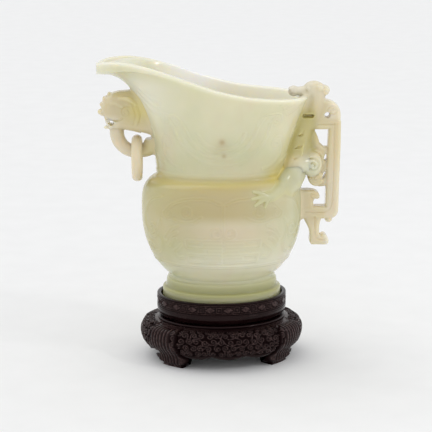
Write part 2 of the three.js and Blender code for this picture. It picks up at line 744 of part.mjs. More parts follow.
function dragonHead(grow) {
  const skullX = RIM_REACH + SKULL_SET_BACK;
  const skullZ = rimLow + SKULL_HEIGHT / 2 - SKULL_SINK;
  const muzzleX = RIM_REACH - NECK_WALL - MUZZLE_OVERHANG;
  const muzzleZ = rimLow + MUZZLE_RADIUS;
  const snout = [
    [muzzleX, 0, muzzleZ, MUZZLE_RADIUS * 0.7, MUZZLE_RADIUS * 0.6],
    [RIM_REACH - NECK_WALL / 2, 0, muzzleZ, MUZZLE_RADIUS * 0.9, MUZZLE_RADIUS * 0.7],
    [skullX, 0, skullZ, MUZZLE_RADIUS * 1.2, MUZZLE_RADIUS],
  ];
  const skull = ellipsoid(skullX, 0, skullZ, SKULL_LENGTH / 2, DRAGON_HALF_WIDTH, SKULL_HEIGHT / 2, grow);
  const muzzle = ellipsoid(muzzleX, 0, muzzleZ, MUZZLE_RADIUS, MUZZLE_RADIUS * 1.2, MUZZLE_RADIUS, grow);
  return limb(snout, LIMB_SIDES / 2, grow).add(skull).add(muzzle);
}

function dragonLeg(sideSign) {
  const onBelly = (angle, drop, radius) => {
    const point = bellyPoint(neckZ - drop, sideSign * angle, radius * 0.3);
    return [point.x, point.y, point.z, radius, radius];
  };
  const hip = [NECK_HALF_LENGTH + HAUNCH_RADIUS * 0.6, sideSign * HAUNCH_RADIUS * 0.5, neckZ + HAUNCH_RISE / 2];
  const stations = [
    [...hip, LEG_RADIUS, LEG_RADIUS],
    onBelly(PAW_ANGLE * 0.45, 0.5, LEG_RADIUS),
    onBelly(PAW_ANGLE * 0.8, PAW_DROP * 0.45, LEG_RADIUS),
    onBelly(PAW_ANGLE, PAW_DROP, PAW_RADIUS),
    onBelly(PAW_ANGLE * 1.12, PAW_DROP * 1.2, PAW_RADIUS * 0.45),
  ];
  return limb(stations, LIMB_SIDES);
}

function dragonTail() {
  const curlX = handleInner - JOINT_GAP - TAIL_RADIUS - TAIL_CURL_RADIUS;
  const curlZ = neckZ + TAIL_CURL_RISE;
  const steps = 12;
  const stations = [];
  for (let i = 0; i <= steps; i++) {
    const share = i / steps;
    const angle = THREE.MathUtils.lerp(TAIL_START, TAIL_END, share);
    const past = Math.max(0, -angle / Math.PI);
    const radius = TAIL_CURL_RADIUS * (1 - 0.6 * past);
    const thick = TAIL_RADIUS * (1 - 0.4 * past);
    const x = curlX + radius * Math.cos(angle);
    const z = curlZ + radius * TAIL_CURL_STRETCH * Math.sin(angle);
    stations.push([x, 0, z, thick * 1.4, thick]);
  }
  return limb(stations, 2 * steps);
}

// Assembly

addPiece(stand, "stand_rail", galleryRail(), hardwood);
addPiece(stand, "stand_seat_panel", seatPanel(), hardwood);
addPiece(stand, "stand_waist", waistRing(), hardwood);
addPiece(stand, "stand_bead", beadRing(), hardwood);

const longSpan = Math.PI / 2 - LEG_ANGLE - legHalfAngle - legGapAngle;
const shortSpan = LEG_ANGLE - legHalfAngle - legGapAngle;
addPiece(stand, "stand_apron_right", apronBoard(0, shortSpan), hardwood);
addPiece(stand, "stand_apron_back", apronBoard(Math.PI / 2, longSpan), hardwood);
addPiece(stand, "stand_apron_left", apronBoard(Math.PI, shortSpan), hardwood);
addPiece(stand, "stand_apron_front", apronBoard(-Math.PI / 2, longSpan), hardwood);
addPiece(stand, "stand_leg_back_right", standLeg(LEG_ANGLE), hardwood);
addPiece(stand, "stand_leg_back_left", standLeg(Math.PI - LEG_ANGLE), hardwood);
addPiece(stand, "stand_leg_front_left", standLeg(Math.PI + LEG_ANGLE), hardwood);
addPiece(stand, "stand_leg_front_right", standLeg(-LEG_ANGLE), hardwood);

const frame = handleFrame().subtract(vesselBlock);
const torsoClear = dragonTorso(JOINT_GAP);
const wallClear = solid(vesselWall(JOINT_GAP));
const head = dragonHead(0).subtract(wallClear);
const torso = dragonTorso(0).subtract(vesselBlock).subtract(armSlice());
const neckRoot = dragonNeck().subtract(vesselBlock).subtract(armSlice());
const neck = neckRoot.subtract(wallClear).subtract(dragonHead(JOINT_GAP));
const tail = dragonTail().subtract(vesselBlock).subtract(torsoClear);
const beast = beastHead(0).subtract(vesselBlock);
const loop = ringLoop().subtract(vesselBlock).subtract(beastHead(JOINT_GAP));

addPiece(vessel, "vessel_body", vesselWall(0), jade);
addPiece(vessel, "handle_frame", geometryOf(frame), jade);
addPiece(vessel, "dragon_head", geometryOf(head), jade);
addPiece(vessel, "dragon_neck", geometryOf(neck), jade);
addPiece(vessel, "dragon_torso", geometryOf(torso), jade);
for (const [name, sideSign] of [["dragon_near_leg", -1], ["dragon_far_leg", 1]]) {
  addPiece(vessel, name, geometryOf(dragonLeg(sideSign).subtract(vesselBlock).subtract(torsoClear)), jade);
}
addPiece(vessel, "dragon_tail", geometryOf(tail), jade);
addPiece(vessel, "beast_head", geometryOf(beast), jade);
addPiece(vessel, "ring_loop", geometryOf(loop), jade);
addPiece(vessel, "loose_ring", geometryOf(looseRing()), jade);

export default vessel;
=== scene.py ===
import itertools
import math

import bpy
import numpy as np
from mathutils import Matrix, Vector


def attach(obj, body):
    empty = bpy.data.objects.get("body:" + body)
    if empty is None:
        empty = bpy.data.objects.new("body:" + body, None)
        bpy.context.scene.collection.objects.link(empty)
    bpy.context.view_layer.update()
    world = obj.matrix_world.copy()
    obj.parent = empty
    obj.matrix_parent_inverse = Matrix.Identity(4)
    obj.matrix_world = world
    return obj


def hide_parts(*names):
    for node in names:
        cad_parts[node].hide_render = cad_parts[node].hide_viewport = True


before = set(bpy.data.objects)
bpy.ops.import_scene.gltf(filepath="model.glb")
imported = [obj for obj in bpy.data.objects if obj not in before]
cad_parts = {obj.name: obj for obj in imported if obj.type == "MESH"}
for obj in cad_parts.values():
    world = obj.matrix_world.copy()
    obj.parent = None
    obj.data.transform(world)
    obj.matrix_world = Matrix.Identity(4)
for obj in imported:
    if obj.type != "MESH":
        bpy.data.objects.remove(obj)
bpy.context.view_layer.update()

# Sizes in millimetres. The vessel's axis stands at x = 0 here and is shifted when a piece is placed.
MM = 0.001
AXIS_X = 1.55
STAND_TURN = math.radians(5.5)

# Stand
LEG_CLEAR_HEIGHT = 6.5
APRON_HEIGHT = 18.0
BEAD_HEIGHT = 1.5
WAIST_HEIGHT = 6.0
RAIL_HEIGHT = 8.0
RECESS_DEPTH = 3.5
FOOT_CLEARANCE = 1.0
RAIL_WALL = 2.5
BEAD_INSET = 0.4
STAND_LEDGE = 8.0
APRON_BULGE = 8.92
APRON_TUCK = 3.2
APRON_WALL = 7.5
LEG_PROUD = 0.7
SIDE_SWELL = 1.2
LEG_WIDTH = 21.0
LEG_ANGLE = math.radians(35)
LEG_TOE_DEPTH = 8.0

# Vessel
JOINT_GAP = 0.3
FOOT_HALF_LENGTH = 35.6
FOOT_HALF_DEPTH = 28.4
FOOT_HEIGHT = 15.0
FOOT_HOLLOW = 2.0
FOOT_RING_WIDTH = 7.0
WAIST_HALF_LENGTH = 31.2
BELLY_HALF_LENGTH = 47.8
BELLY_HALF_DEPTH = 37.5
BELLY_RISE = 40.2
BELLY_FULLNESS = 2.25
SHOULDER_RISE = 20.0
SHOULDER_FULLNESS = 3.6
BELLY_WALL = 5.5
INNER_SHOULDER_DROP = 7.2
FLOOR_THICKNESS = 8.0
NECK_HALF_LENGTH = 38.6
NECK_HALF_DEPTH = 28.6
NECK_LEDGE = 0.9
NECK_WALL = 4.5
MOUTH_HALF_DEPTH = 31.0
BACK_FULLNESS = 0.42
RIM_REACH = 51.0
RIM_RISE = 47.2
RIM_ROUND = 1.2
SPOUT_REACH = 73.7
SPOUT_SWEEP = 24.65
SWEEP_CENTRE = 22.0
SWEEP_LENGTH = 18.0
SPOUT_DROOP = 3.2
DROOP_LENGTH = 22.0
BACK_FLARE = 1.7
SIDE_FLARE = 1.2
SPOUT_FLARE = 0.32
SPOUT_LIP = 6.0
CHANNEL_FLARE = 0.24
SPOUT_HOLLOW = 0.75

# Loose ring and its loop
RING_STANDOFF = 2.4
RING_BORE_RADIUS = 8.5
RING_THICKNESS = 5.4
RING_WIDTH = 5.8
RING_PLAY = 0.5
LOOP_BAR_RADIUS = 4.0
LOOP_BAR_RISE = 13.7
LOOP_RADIUS = 11.8

# Handle
HANDLE_REACH = 70.6
HANDLE_DEPTH = 10.0
UPPER_ARM_BOTTOM = 138.2
UPPER_ARM_TOP = 145.0
LOWER_ARM_BOTTOM = 84.8
LOWER_ARM_TOP = 93.4

# Heights worked out from the sizes above
APRON_TOP = LEG_CLEAR_HEIGHT + APRON_HEIGHT
BEAD_TOP = APRON_TOP + BEAD_HEIGHT
WAIST_TOP = BEAD_TOP + WAIST_HEIGHT
RAIL_TOP = WAIST_TOP + RAIL_HEIGHT
RAIL_OUTER = FOOT_CLEARANCE + RAIL_WALL
APRON_EDGE = RAIL_OUTER + APRON_TUCK
FOOT_BOTTOM = RAIL_TOP - RECESS_DEPTH + JOINT_GAP
WAIST_Z = FOOT_BOTTOM + FOOT_HEIGHT
WIDEST_Z = WAIST_Z + BELLY_RISE
NECK_Z = WIDEST_Z + SHOULDER_RISE
RIM_LOW = NECK_Z + RIM_RISE
RING_X = -(BELLY_HALF_LENGTH + RING_STANDOFF)
BAR_Z = NECK_Z + LOOP_BAR_RISE
RING_BORE_TOP = BAR_Z + LOOP_BAR_RADIUS + RING_PLAY

# Facets
VESSEL_SIDES = 480
CARVING_STEP = 0.4
FINE_STEP = 0.33
FAR = 1000.0

# How far a carving's root reaches round it, into the vessel's wall and below the wall's face
ROOT_REACH = 2.6
ROOT_DEPTH = 2.4
ROOT_SINK = 0.12


# Meshes

def placed(points, turn=0.0):
    """Millimetres about the vessel's axis to metres in the part's frame."""
    c, s = math.cos(turn), math.sin(turn)
    x = points[:, 0] * c - points[:, 1] * s + AXIS_X
    y = points[:, 0] * s + points[:, 1] * c
    return MM * np.column_stack([x, y, points[:, 2]])


def make_piece(name, points, faces, material, body, nodes, tones, turn=0.0):
    """A closed, smooth mesh object that rides on a body and stands for CAD nodes.

    Tones are its point attributes, each given as one number or as a number for every point.
    """
    mesh = bpy.data.meshes.new(name)
    mesh.from_pydata(placed(points, turn).tolist(), [], faces)
    for tone, values in tones.items():
        attribute = mesh.attributes.new(tone, "FLOAT", "POINT")
        attribute.data.foreach_set("value", np.full(len(points), values, dtype=np.float32))
    mesh.polygons.foreach_set("use_smooth", np.ones(len(mesh.polygons), dtype=bool))
    mesh.materials.append(material)
    mesh.update()
    piece = bpy.data.objects.new(name, mesh)
    bpy.context.collection.objects.link(piece)
    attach(piece, body)
    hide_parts(*nodes)


def grid_faces(rows, columns, wrap_rows=False):
    """Quads of a grid whose columns go right round, with its rows wrapped too or left open."""
    ids = np.arange(rows * columns).reshape(rows, columns)
    if wrap_rows:
        ids = np.vstack([ids, ids[:1]])
    following = np.roll(ids, -1, axis=1)
    quads = np.stack([ids[:-1], following[:-1], following[1:], ids[1:]], axis=-1)
    return quads.reshape(-1, 4).tolist()


def fan(ring_start, columns, centre, reverse):
    """Triangles from a ring of points to its centre."""
    faces = []
    for j in range(columns):
        pair = [ring_start + j, ring_start + (j + 1) % columns]
        faces.append([centre] + (pair[::-1] if reverse else pair))
    return faces


def grid_normals(points):
    """Unit normals of a grid of points, rows by columns, whose columns go right round."""
    along = np.roll(points, -1, axis=1) - np.roll(points, 1, axis=1)
    up = np.gradient(points, axis=0)
    normals = np.cross(along, up)
    return normals / np.maximum(np.linalg.norm(normals, axis=-1, keepdims=True), 1e-9)


def smooth_path(points, steps):
    """A Catmull-Rom curve through points, with so many steps between neighbours."""
    p = np.array(points, dtype=float)
    p = np.vstack([2 * p[0] - p[1], p, 2 * p[-1] - p[-2]])
    t = np.linspace(0, 1, steps, endpoint=False)[:, None]
    pieces = []
    for a, b, c, d in zip(p[:-3], p[1:-2], p[2:-1], p[3:]):
        curve = 2 * b + (c - a) * t + (2 * a - 5 * b + 4 * c - d) * t ** 2 + (3 * b - a - 3 * c + d) * t ** 3
        pieces.append(curve / 2)
    return np.vstack([*pieces, p[-2:-1]])


def spiral(centre, radius, end_radius, start, turns, steps=28):
    """Points of a flat spiral. Start is its first angle in degrees, and negative turns run clockwise."""
    share = np.linspace(0, 1, steps)
    angle = math.radians(start) + 2 * math.pi * turns * share
    r = radius + (end_radius - radius) * share
    return np.column_stack([centre[0] + r * np.cos(angle), centre[1] + r * np.sin(angle)])


def arc(centre, radius, start, end, steps=8):
    """Points of a flat arc between two angles in degrees."""
    turn = np.radians(np.linspace(start, end, steps))
    return [(centre[0] + radius * math.cos(a), centre[1] + radius * math.sin(a)) for a in turn]


def smoothstep(low, high, value):
    """Rises smoothly from 0 at low to 1 at high. Where low is the greater, it falls."""
    share = np.clip((value - low) / (high - low), 0, 1)
    return share * share * (3 - 2 * share)


def between(value, low, full, fade, high):
    """1 from full to fade, and falling smoothly to 0 at low and high."""
    return smoothstep(low, full, value) * smoothstep(high, fade, value)


def around(value, middle, width):
    """1 in the middle, and falling away like a bell within about twice the width."""
    return np.exp(-((value - middle) / width) ** 2)


def stroke_distance(u, v, strokes, reach):
    """Distance of surface points (u, v) to the nearest of several flat curves, up to a reach."""
    best = np.full(u.shape, reach)
    for stroke in strokes:
        for a, b in zip(stroke[:-1], stroke[1:]):
            near = (np.abs(2 * u - a[0] - b[0]) < abs(a[0] - b[0]) + 2 * reach)
            near &= np.abs(2 * v - a[1] - b[1]) < abs(a[1] - b[1]) + 2 * reach
            if not near.any():
                continue
            pu, pv = u[near] - a[0], v[near] - a[1]
            du, dv = b - a
            share = np.clip((pu * du + pv * dv) / max(du * du + dv * dv, 1e-9), 0, 1)
            best[near] = np.minimum(best[near], np.hypot(pu - share * du, pv - share * dv))
    return best


# Carved solids

def smooth_min(a, b, blend):
    h = np.clip(0.5 + 0.5 * (b - a) / blend, 0, 1)
    return b + (a - b) * h - blend * h * (1 - h)


def ball(centre, radii, tilt=0.0):
    """An ellipsoid, tilted about Y by an angle in degrees."""
    cx, cy, cz = centre
    rx, ry, rz = radii
    c, s = math.cos(math.radians(tilt)), math.sin(math.radians(tilt))
    reach = max(radii)

    def distance(x, y, z):
        dx, dy, dz = x - cx, y - cy, z - cz
        lx, lz = dx * c + dz * s, dz * c - dx * s
        near = np.sqrt((lx / rx) ** 2 + (dy / ry) ** 2 + (lz / rz) ** 2)
        slope = np.sqrt((lx / rx ** 2) ** 2 + (dy / ry ** 2) ** 2 + (lz / rz ** 2) ** 2)
        return near * (near - 1) / np.maximum(slope, 1e-6)

    return np.array(centre) - reach, np.array(centre) + reach, distance


def rod(path, radii, flat=1.0):
    """A round limb along a path of points, thicker across Y by the factor flat."""
    path = np.array(path, dtype=float)
    shares = np.linspace(0, 1, np.size(radii))
    radii = np.interp(np.linspace(0, 1, len(path)), shares, np.atleast_1d(radii))
    reach = radii.max() * max(1.0, flat)

    def distance(x, y, z):
        best = None
        for (ax, ay, az), (bx, by, bz), ra, rb in zip(path[:-1], path[1:], radii[:-1], radii[1:]):
            ey = (by - ay) / flat
            ex, ez = bx - ax, bz - az
            px, py, pz = x - ax, (y - ay) / flat, z - az
            h = np.clip((px * ex + py * ey + pz * ez) / max(ex * ex + ey * ey + ez * ez, 1e-9), 0, 1)
            d = np.sqrt((px - h * ex) ** 2 + (py - h * ey) ** 2 + (pz - h * ez) ** 2) - (ra + (rb - ra) * h)
            best = d if best is None else np.minimum(best, d)
        return best

    return path.min(axis=0) - reach, path.max(axis=0) + reach, distance


def slab(outline, half_depth, edge):
    """An outline of (x, z) points, given a depth across Y and rounded edges."""
    outline = np.array(outline, dtype=float)

    def distance(x, y, z):
        px, pz = np.broadcast_arrays(x, z)
        px, pz = px[:, 0, :], pz[:, 0, :]
        nearest = np.full(px.shape, FAR)
        inside = np.zeros(px.shape, dtype=bool)
        for (ax, az), (bx, bz) in zip(outline, np.roll(outline, -1, axis=0)):
            ex, ez = bx - ax, bz - az
            h = np.clip(((px - ax) * ex + (pz - az) * ez) / (ex * ex + ez * ez), 0, 1)
            nearest = np.minimum(nearest, np.hypot(px - ax - h * ex, pz - az - h * ez))
            if az != bz:
                crosses = ((az > pz) != (bz > pz)) & (px < ax + ex * (pz - az) / ez)
                inside ^= crosses
        flat = np.where(inside, -nearest, nearest)[:, None, :] + edge
        deep = np.abs(y) - half_depth + edge
        outer = np.hypot(np.maximum(flat, 0), np.maximum(deep, 0))
        return outer + np.minimum(np.maximum(flat, deep), 0) - edge

    low = np.array([outline[:, 0].min(), -half_depth, outline[:, 1].min()])
    high = np.array([outline[:, 0].max(), half_depth, outline[:, 1].max()])
    return low, high, distance


def main_part(points, quads):
    """The largest connected part of a mesh."""
    labels = np.arange(len(points))
    settled = False
    while not settled:
        lowest = labels.copy()
        np.minimum.at(lowest, quads, labels[quads].min(axis=1)[:, None])
        lowest = lowest[lowest]
        settled = np.array_equal(lowest, labels)
        labels = lowest
    keep = labels == np.bincount(labels).argmax()
    ids = np.cumsum(keep) - 1
    return points[keep], ids[quads[keep[quads[:, 0]]]]


def mirrored(points):
    """Points on the far side of the vessel, mirrored to the near side and as they are."""
    return np.multiply(points, (1, -1, 1)), np.array(points, dtype=float)


class Carving:
    """A block on a regular grid, in which smooth solids are joined and cut."""

    def __init__(self, low, high, step):
        self.low = np.array(low, dtype=float)
        self.step = step
        counts = np.ceil((np.array(high) - self.low) / step).astype(int) + 1
        self.axes = [self.low[k] + step * np.arange(counts[k]) for k in range(3)]
        self.field = np.full(counts, FAR)

    def near(self, shape, blend):
        low, high, distance = shape
        margin = blend + ROOT_REACH + 3 * self.step
        where = []
        for axis, a, b in zip(self.axes, low, high):
            where.append(slice(*np.searchsorted(axis, [a - margin, b + margin])))
        grid = np.meshgrid(*[axis[part] for axis, part in zip(self.axes, where)], indexing="ij", sparse=True)
        return tuple(where), distance(*grid)

    def add(self, shape, blend=0.8):
        where, d = self.near(shape, blend)
        self.field[where] = smooth_min(self.field[where], d, blend)

    def cut(self, shape, blend=0.3):
        where, d = self.near(shape, blend)
        self.field[where] = -smooth_min(-self.field[where], d, blend)

    def add_balls(self, centre, radii, blend):
        """Adds an ellipsoid on each side of the vessel."""
        for place in mirrored(centre):
            self.add(ball(place, radii), blend)

    def add_limbs(self, points, radii, blend, steps=1):
        """Adds a round limb on each side of the vessel, with so many steps between its points."""
        for path in mirrored(points):
            self.add(rod(smooth_path(path, steps), radii), blend)

    def cut_lines(self, points, radii, blend, steps=1, flat=1.0):
        """Cuts a round groove on each side of the vessel, in the same way."""
        for path in mirrored(points):
            self.cut(rod(smooth_path(path, steps), radii, flat), blend)

    def root(self, blend):
        """Joins the carving to the vessel by a fillet, with a thin plate inside the vessel's wall."""
        x, y, z = np.meshgrid(*self.axes, indexing="ij", sparse=True)
        radial = wall_distance(x, y, z)
        outside = np.maximum(radial, z - rim_height(x))
        plate = np.maximum(np.maximum(outside + ROOT_SINK, -radial - ROOT_DEPTH), self.field - ROOT_REACH)
        self.field = np.maximum(smooth_min(self.field, plate, blend), -outside - ROOT_DEPTH)

    def join_corners(self):
        """Keeps the surface off the grid's points, and fills in where it would meet itself along an edge."""
        least, fill = self.step / 20, -self.step / 4
        self.field[np.abs(self.field) < least] = least
        for first, second in 4 * [(0, 1), (1, 2), (0, 2)]:
            grid = np.moveaxis(self.field, (first, second), (0, 1))
            inside = grid < 0
            a, b, c, d = inside[:-1, :-1], inside[1:, 1:], inside[:-1, 1:], inside[1:, :-1]
            crossed = (a == b) & (c == d) & (a != c)
            rows, columns = np.array(grid.shape[:2]) - 1
            for i, j in itertools.product((0, 1), repeat=2):
                corner = grid[i:rows + i, j:columns + j]
                corner[crossed & (corner >= 0)] = fill

    def close_sides(self):
        """Puts the outermost layer of the block outside the solid, so that its surface is closed."""
        for axis in range(3):
            layers = np.moveaxis(self.field, axis, 0)
            for end in (0, -1):
                layers[end] = np.maximum(layers[end], self.step / 2)

    def surface(self):
        """The surface as points and quads, with one point in each cell that it crosses."""
        self.join_corners()
        self.close_sides()
        inside = self.field < 0
        cells = np.array(self.field.shape) - 1
        total = np.zeros((*cells, 3))
        hits = np.zeros(cells)
        rings = []
        for axis in range(3):
            ahead, b, c = np.roll(np.eye(3, dtype=int), -axis, axis=0)
            nodes = np.argwhere(np.diff(inside, axis=axis))
            here = self.field[tuple(nodes.T)]
            share = here / (here - self.field[tuple((nodes + ahead).T)])
            ring = np.stack([nodes - b - c, nodes - c, nodes, nodes - b], axis=1)
            place = tuple(np.moveaxis(ring, 2, 0))
            np.add.at(total, place, (nodes + share[:, None] * ahead)[:, None])
            np.add.at(hits, place, 1)
            rings.append(np.where((here < 0)[:, None, None], ring, ring[:, ::-1]))
        active = hits > 0
        ids = np.full(cells, -1)
        ids[active] = np.arange(active.sum())
        quads = ids[tuple(np.moveaxis(np.vstack(rings), 2, 0))]
        points = total[active] / hits[active][:, None]
        return main_part(self.low + self.step * points, quads)

    def value(self, points):
        """The field at points, from the eight grid values around each."""
        place = (points - self.low) / self.step
        cell = np.clip(place.astype(int), 0, np.array(self.field.shape) - 2)
        share = place - cell
        total = np.zeros(len(points))
        for corner in itertools.product((0, 1), repeat=3):
            weight = np.prod(np.where(corner, share, 1 - share), axis=1)
            total += weight * self.field[tuple((cell + corner).T)]
        return total

    def reach_to(self, points):
        """How far points lie from the carving, with a great distance for those outside its block."""
        top = self.low + self.step * (np.array(self.field.shape) - 1)
        within = np.all((points > self.low) & (points < top), axis=1)
        distance = np.full(len(points), FAR)
        distance[within] = self.value(points[within])
        return distance

    def hollows(self, points, reach):
        """How enclosed each surface point is, from 0 on a bulge to 1 in a crevice."""
        steps = np.eye(3) * self.step
        slope = np.column_stack([self.value(points + d) - self.value(points - d) for d in steps])
        slope /= np.maximum(np.linalg.norm(slope, axis=1, keepdims=True), 1e-6)
        return np.clip(1 - self.value(points + reach * slope) / reach, 0, 1)


# Materials

# Places of the colour sockets on a Mix node
MIX_FIRST = 6
MIX_SECOND = 7
MIX_RESULT = 2


class Surface:
    """A material's nodes, with short ways to add, set and link them."""

    def __init__(self, name):
        self.material = bpy.data.materials.new(name)
        self.material.use_nodes = True
        self.nodes = self.material.node_tree.nodes
        self.coords = self.nodes.new("ShaderNodeTexCoord").outputs["Object"]

    def put(self, node, values):
        """Sets sockets of a node to values, or links them to the outputs of other nodes."""
        for socket, value in values.items():
            if isinstance(value, bpy.types.NodeSocket):
                self.material.node_tree.links.new(value, node.inputs[socket])
            else:
                node.inputs[socket].default_value = value
        return node

    def noise(self, scale, detail, stretch=(1, 1, 1)):
        mapping = self.put(self.nodes.new("ShaderNodeMapping"), {"Scale": stretch, "Vector": self.coords})
        texture = self.nodes.new("ShaderNodeTexNoise")
        self.put(texture, {"Scale": scale, "Detail": detail, "Vector": mapping.outputs["Vector"]})
        return texture.outputs["Fac"]

    def spread(self, value, low, high, to_low=0.0, to_high=1.0):
        """Values between low and high, stretched to another span."""
        node = self.nodes.new("ShaderNodeMapRange")
        span = {"From Min": low, "From Max": high, "To Min": to_low, "To Max": to_high}
        self.put(node, {"Value": value, **span})
        return node.outputs["Result"]

    def mixed(self, share, first, second):
        """A colour between two, each given as a colour or as another node's output."""
        node = self.nodes.new("ShaderNodeMix")
        node.data_type = "RGBA"
        self.put(node, {MIX_FIRST: first, MIX_SECOND: second, "Factor": share})
        return node.outputs[MIX_RESULT]

    def tone(self, name):
        node = self.nodes.new("ShaderNodeAttribute")
        node.attribute_name = name
        return node.outputs["Fac"]

    def relief(self, height, strength, distance):
        node = self.nodes.new("ShaderNodeBump")
        self.put(node, {"Strength": strength, "Distance": distance, "Height": height})
        return node.outputs["Normal"]

    def finish(self, values):
        self.put(self.nodes["Principled BSDF"], values)
        return self.material


JADE_PALE = (0.71, 0.685, 0.485, 1)
JADE_CELADON = (0.62, 0.63, 0.41, 1)
JADE_BLUSH = (0.70, 0.56, 0.415, 1)
# Tints for point tones: olive, tan and moss also carry painted shade, and thin carries painted glow and
# highlight
JADE_TONES = {
    "blush": JADE_BLUSH,
    "tan": (0.47, 0.37, 0.18, 1),
    "moss": (0.36, 0.355, 0.150, 1),
    "olive": (0.74, 0.63, 0.215, 1),
    "thin": (0.96, 0.94, 0.94, 1),
}


def jade_material():
    """Clouded, translucent nephrite. Point tones add its tints, with olive, tan and moss as painted shade in
    hollows and where parts join, and thin as painted glow and highlight.
    """
    stone = Surface("celadon_jade")
    clouds = stone.spread(stone.noise(26, 3), 0.36, 0.66)
    warmth = stone.spread(stone.noise(48, 4, (1, 1, 0.6)), 0.52, 0.74, 0, 0.4)
    veins = stone.spread(stone.noise(120, 5, (1, 1, 0.35)), 0.45, 0.75, 0, 0.45)
    fine = stone.noise(900, 4)
    colour = stone.mixed(clouds, JADE_PALE, JADE_CELADON)
    colour = stone.mixed(warmth, colour, JADE_BLUSH)
    colour = stone.mixed(veins, colour, JADE_PALE)
    for name, tint in JADE_TONES.items():
        colour = stone.mixed(stone.tone(name), colour, tint)
    return stone.finish({
        "Base Color": colour,
        "Subsurface Weight": stone.tone("clear"),
        "Subsurface Radius": (1.0, 0.9, 0.65),
        "Subsurface Scale": 0.006,
        "IOR": 1.61,
        "Specular IOR Level": stone.spread(stone.tone("thin"), 0.4, 0.9, 0.5, 0.12),
        "Roughness": stone.spread(fine, 0.3, 0.7, 0.13, 0.22),
        "Normal": stone.relief(fine, 0.06, 0.0002),
    })


# The darkest colour also serves as painted shade; the rubbed and worn colours as rubbed wear with a painted
# sheen
WOOD_DARK = (0.006, 0.0020, 0.0022, 1)
WOOD_BROWN = (0.012, 0.0044, 0.0046, 1)
WOOD_RUBBED_SHEEN = (0.024, 0.0125, 0.0120, 1)
WOOD_WORN_SHEEN = (0.066, 0.040, 0.038, 1)


def wood_material():
    """Dark, waxed hardwood with fine grain, with painted shade in the carving's hollows and under the bead,
    and ridges lighter from rubbed wear and a painted highlight.
    """
    timber = Surface("dark_hardwood")
    grain = timber.spread(timber.noise(260, 5, (0.12, 1, 1)), 0.35, 0.7)
    pores = timber.noise(1500, 3, (0.1, 1, 1))
    flecks = timber.spread(timber.noise(620, 3), 0.42, 0.60)
    hollow = timber.tone("hollow")
    colour = timber.mixed(grain, WOOD_DARK, WOOD_BROWN)
    colour = timber.mixed(hollow, colour, WOOD_DARK)
    colour = timber.mixed(timber.tone("ridge"), colour, timber.mixed(flecks, WOOD_RUBBED_SHEEN, WOOD_WORN_SHEEN))
    return timber.finish({
        "Base Color": colour,
        "Roughness": timber.spread(hollow, 0, 1, 0.15, 0.40),
        # Less reflection in the hollows, as painted shade
        "Specular IOR Level": timber.spread(hollow, 0, 1, 0.18, 0.03),
        "Specular Tint": (1.0, 0.80, 0.78, 1),
        "Normal": timber.relief(pores, 0.15, 0.0002),
    })


jade = jade_material()
wood = wood_material()


# Vessel

def rim_height(x):
    sweep = SPOUT_SWEEP / (1 + np.exp((x + SWEEP_CENTRE) / SWEEP_LENGTH))
    past = np.maximum(0, (DROOP_LENGTH - SPOUT_REACH - x) / DROOP_LENGTH)
    return RIM_LOW + sweep - SPOUT_DROOP * past ** 2


def superellipse(share, power):
    return np.maximum(1 - share ** power, 0) ** (1 / power)


LOWER_DEPTH = BELLY_RISE / superellipse(WAIST_HALF_LENGTH / BELLY_HALF_LENGTH, BELLY_FULLNESS)
NECK_SHARE = (NECK_HALF_LENGTH + NECK_LEDGE) / BELLY_HALF_LENGTH
UPPER_DEPTH = SHOULDER_RISE / superellipse(NECK_SHARE, SHOULDER_FULLNESS)


def belly_share(z):
    """The belly's size at a height, as a share of its size where it is widest."""
    below = superellipse(np.abs(np.minimum(z - WIDEST_Z, 0)) / LOWER_DEPTH, BELLY_FULLNESS)
    above = superellipse(np.maximum(z - WIDEST_Z, 0) / UPPER_DEPTH, SHOULDER_FULLNESS)
    return np.minimum(below, above)


def oval(half_length, half_depth, z, angle):
    return np.column_stack([half_length * np.cos(angle), half_depth * np.sin(angle), np.full(angle.shape, z)])


def belly_row(z, angle, inset=0.0):
    share = belly_share(z)
    return oval(BELLY_HALF_LENGTH * share - inset, BELLY_HALF_DEPTH * share - inset, z, angle)


def neck_halves(t, c, inset=0.0):
    """Half length, half depth and height of the neck at a share of its height and a cosine round its oval."""
    reach = np.where(c < 0, SPOUT_REACH, RIM_REACH)
    height = rim_height(reach * c) - RIM_ROUND - NECK_Z
    lip = 0 if inset > 0 else SPOUT_LIP * c * c
    opening = np.clip(t * height / (height - lip), 0, 1)
    spout = 1 - (1 - opening) ** (CHANNEL_FLARE if inset > 0 else SPOUT_FLARE)
    if inset == 0:
        spout = spout * (1 - SPOUT_HOLLOW * (1 - spout) ** 4)
    flare = t ** (SIDE_FLARE + (BACK_FLARE - SIDE_FLARE) * c * c)
    flare = np.where(c < 0, flare + (spout - flare) * c * c, flare)
    half_length = NECK_HALF_LENGTH + (reach - NECK_HALF_LENGTH) * flare - inset
    half_depth = NECK_HALF_DEPTH + (MOUTH_HALF_DEPTH - NECK_HALF_DEPTH) * t
    half_depth = half_depth * (1 + BACK_FULLNESS * t * np.maximum(c, 0) ** 2) - inset
    return half_length, half_depth, height


def neck_row(t, angle, inset=0.0):
    c, s = np.cos(angle), np.sin(angle)
    half_length, half_depth, height = neck_halves(t, c, inset)
    return np.column_stack([half_length * c, half_depth * s, NECK_Z + t * height])


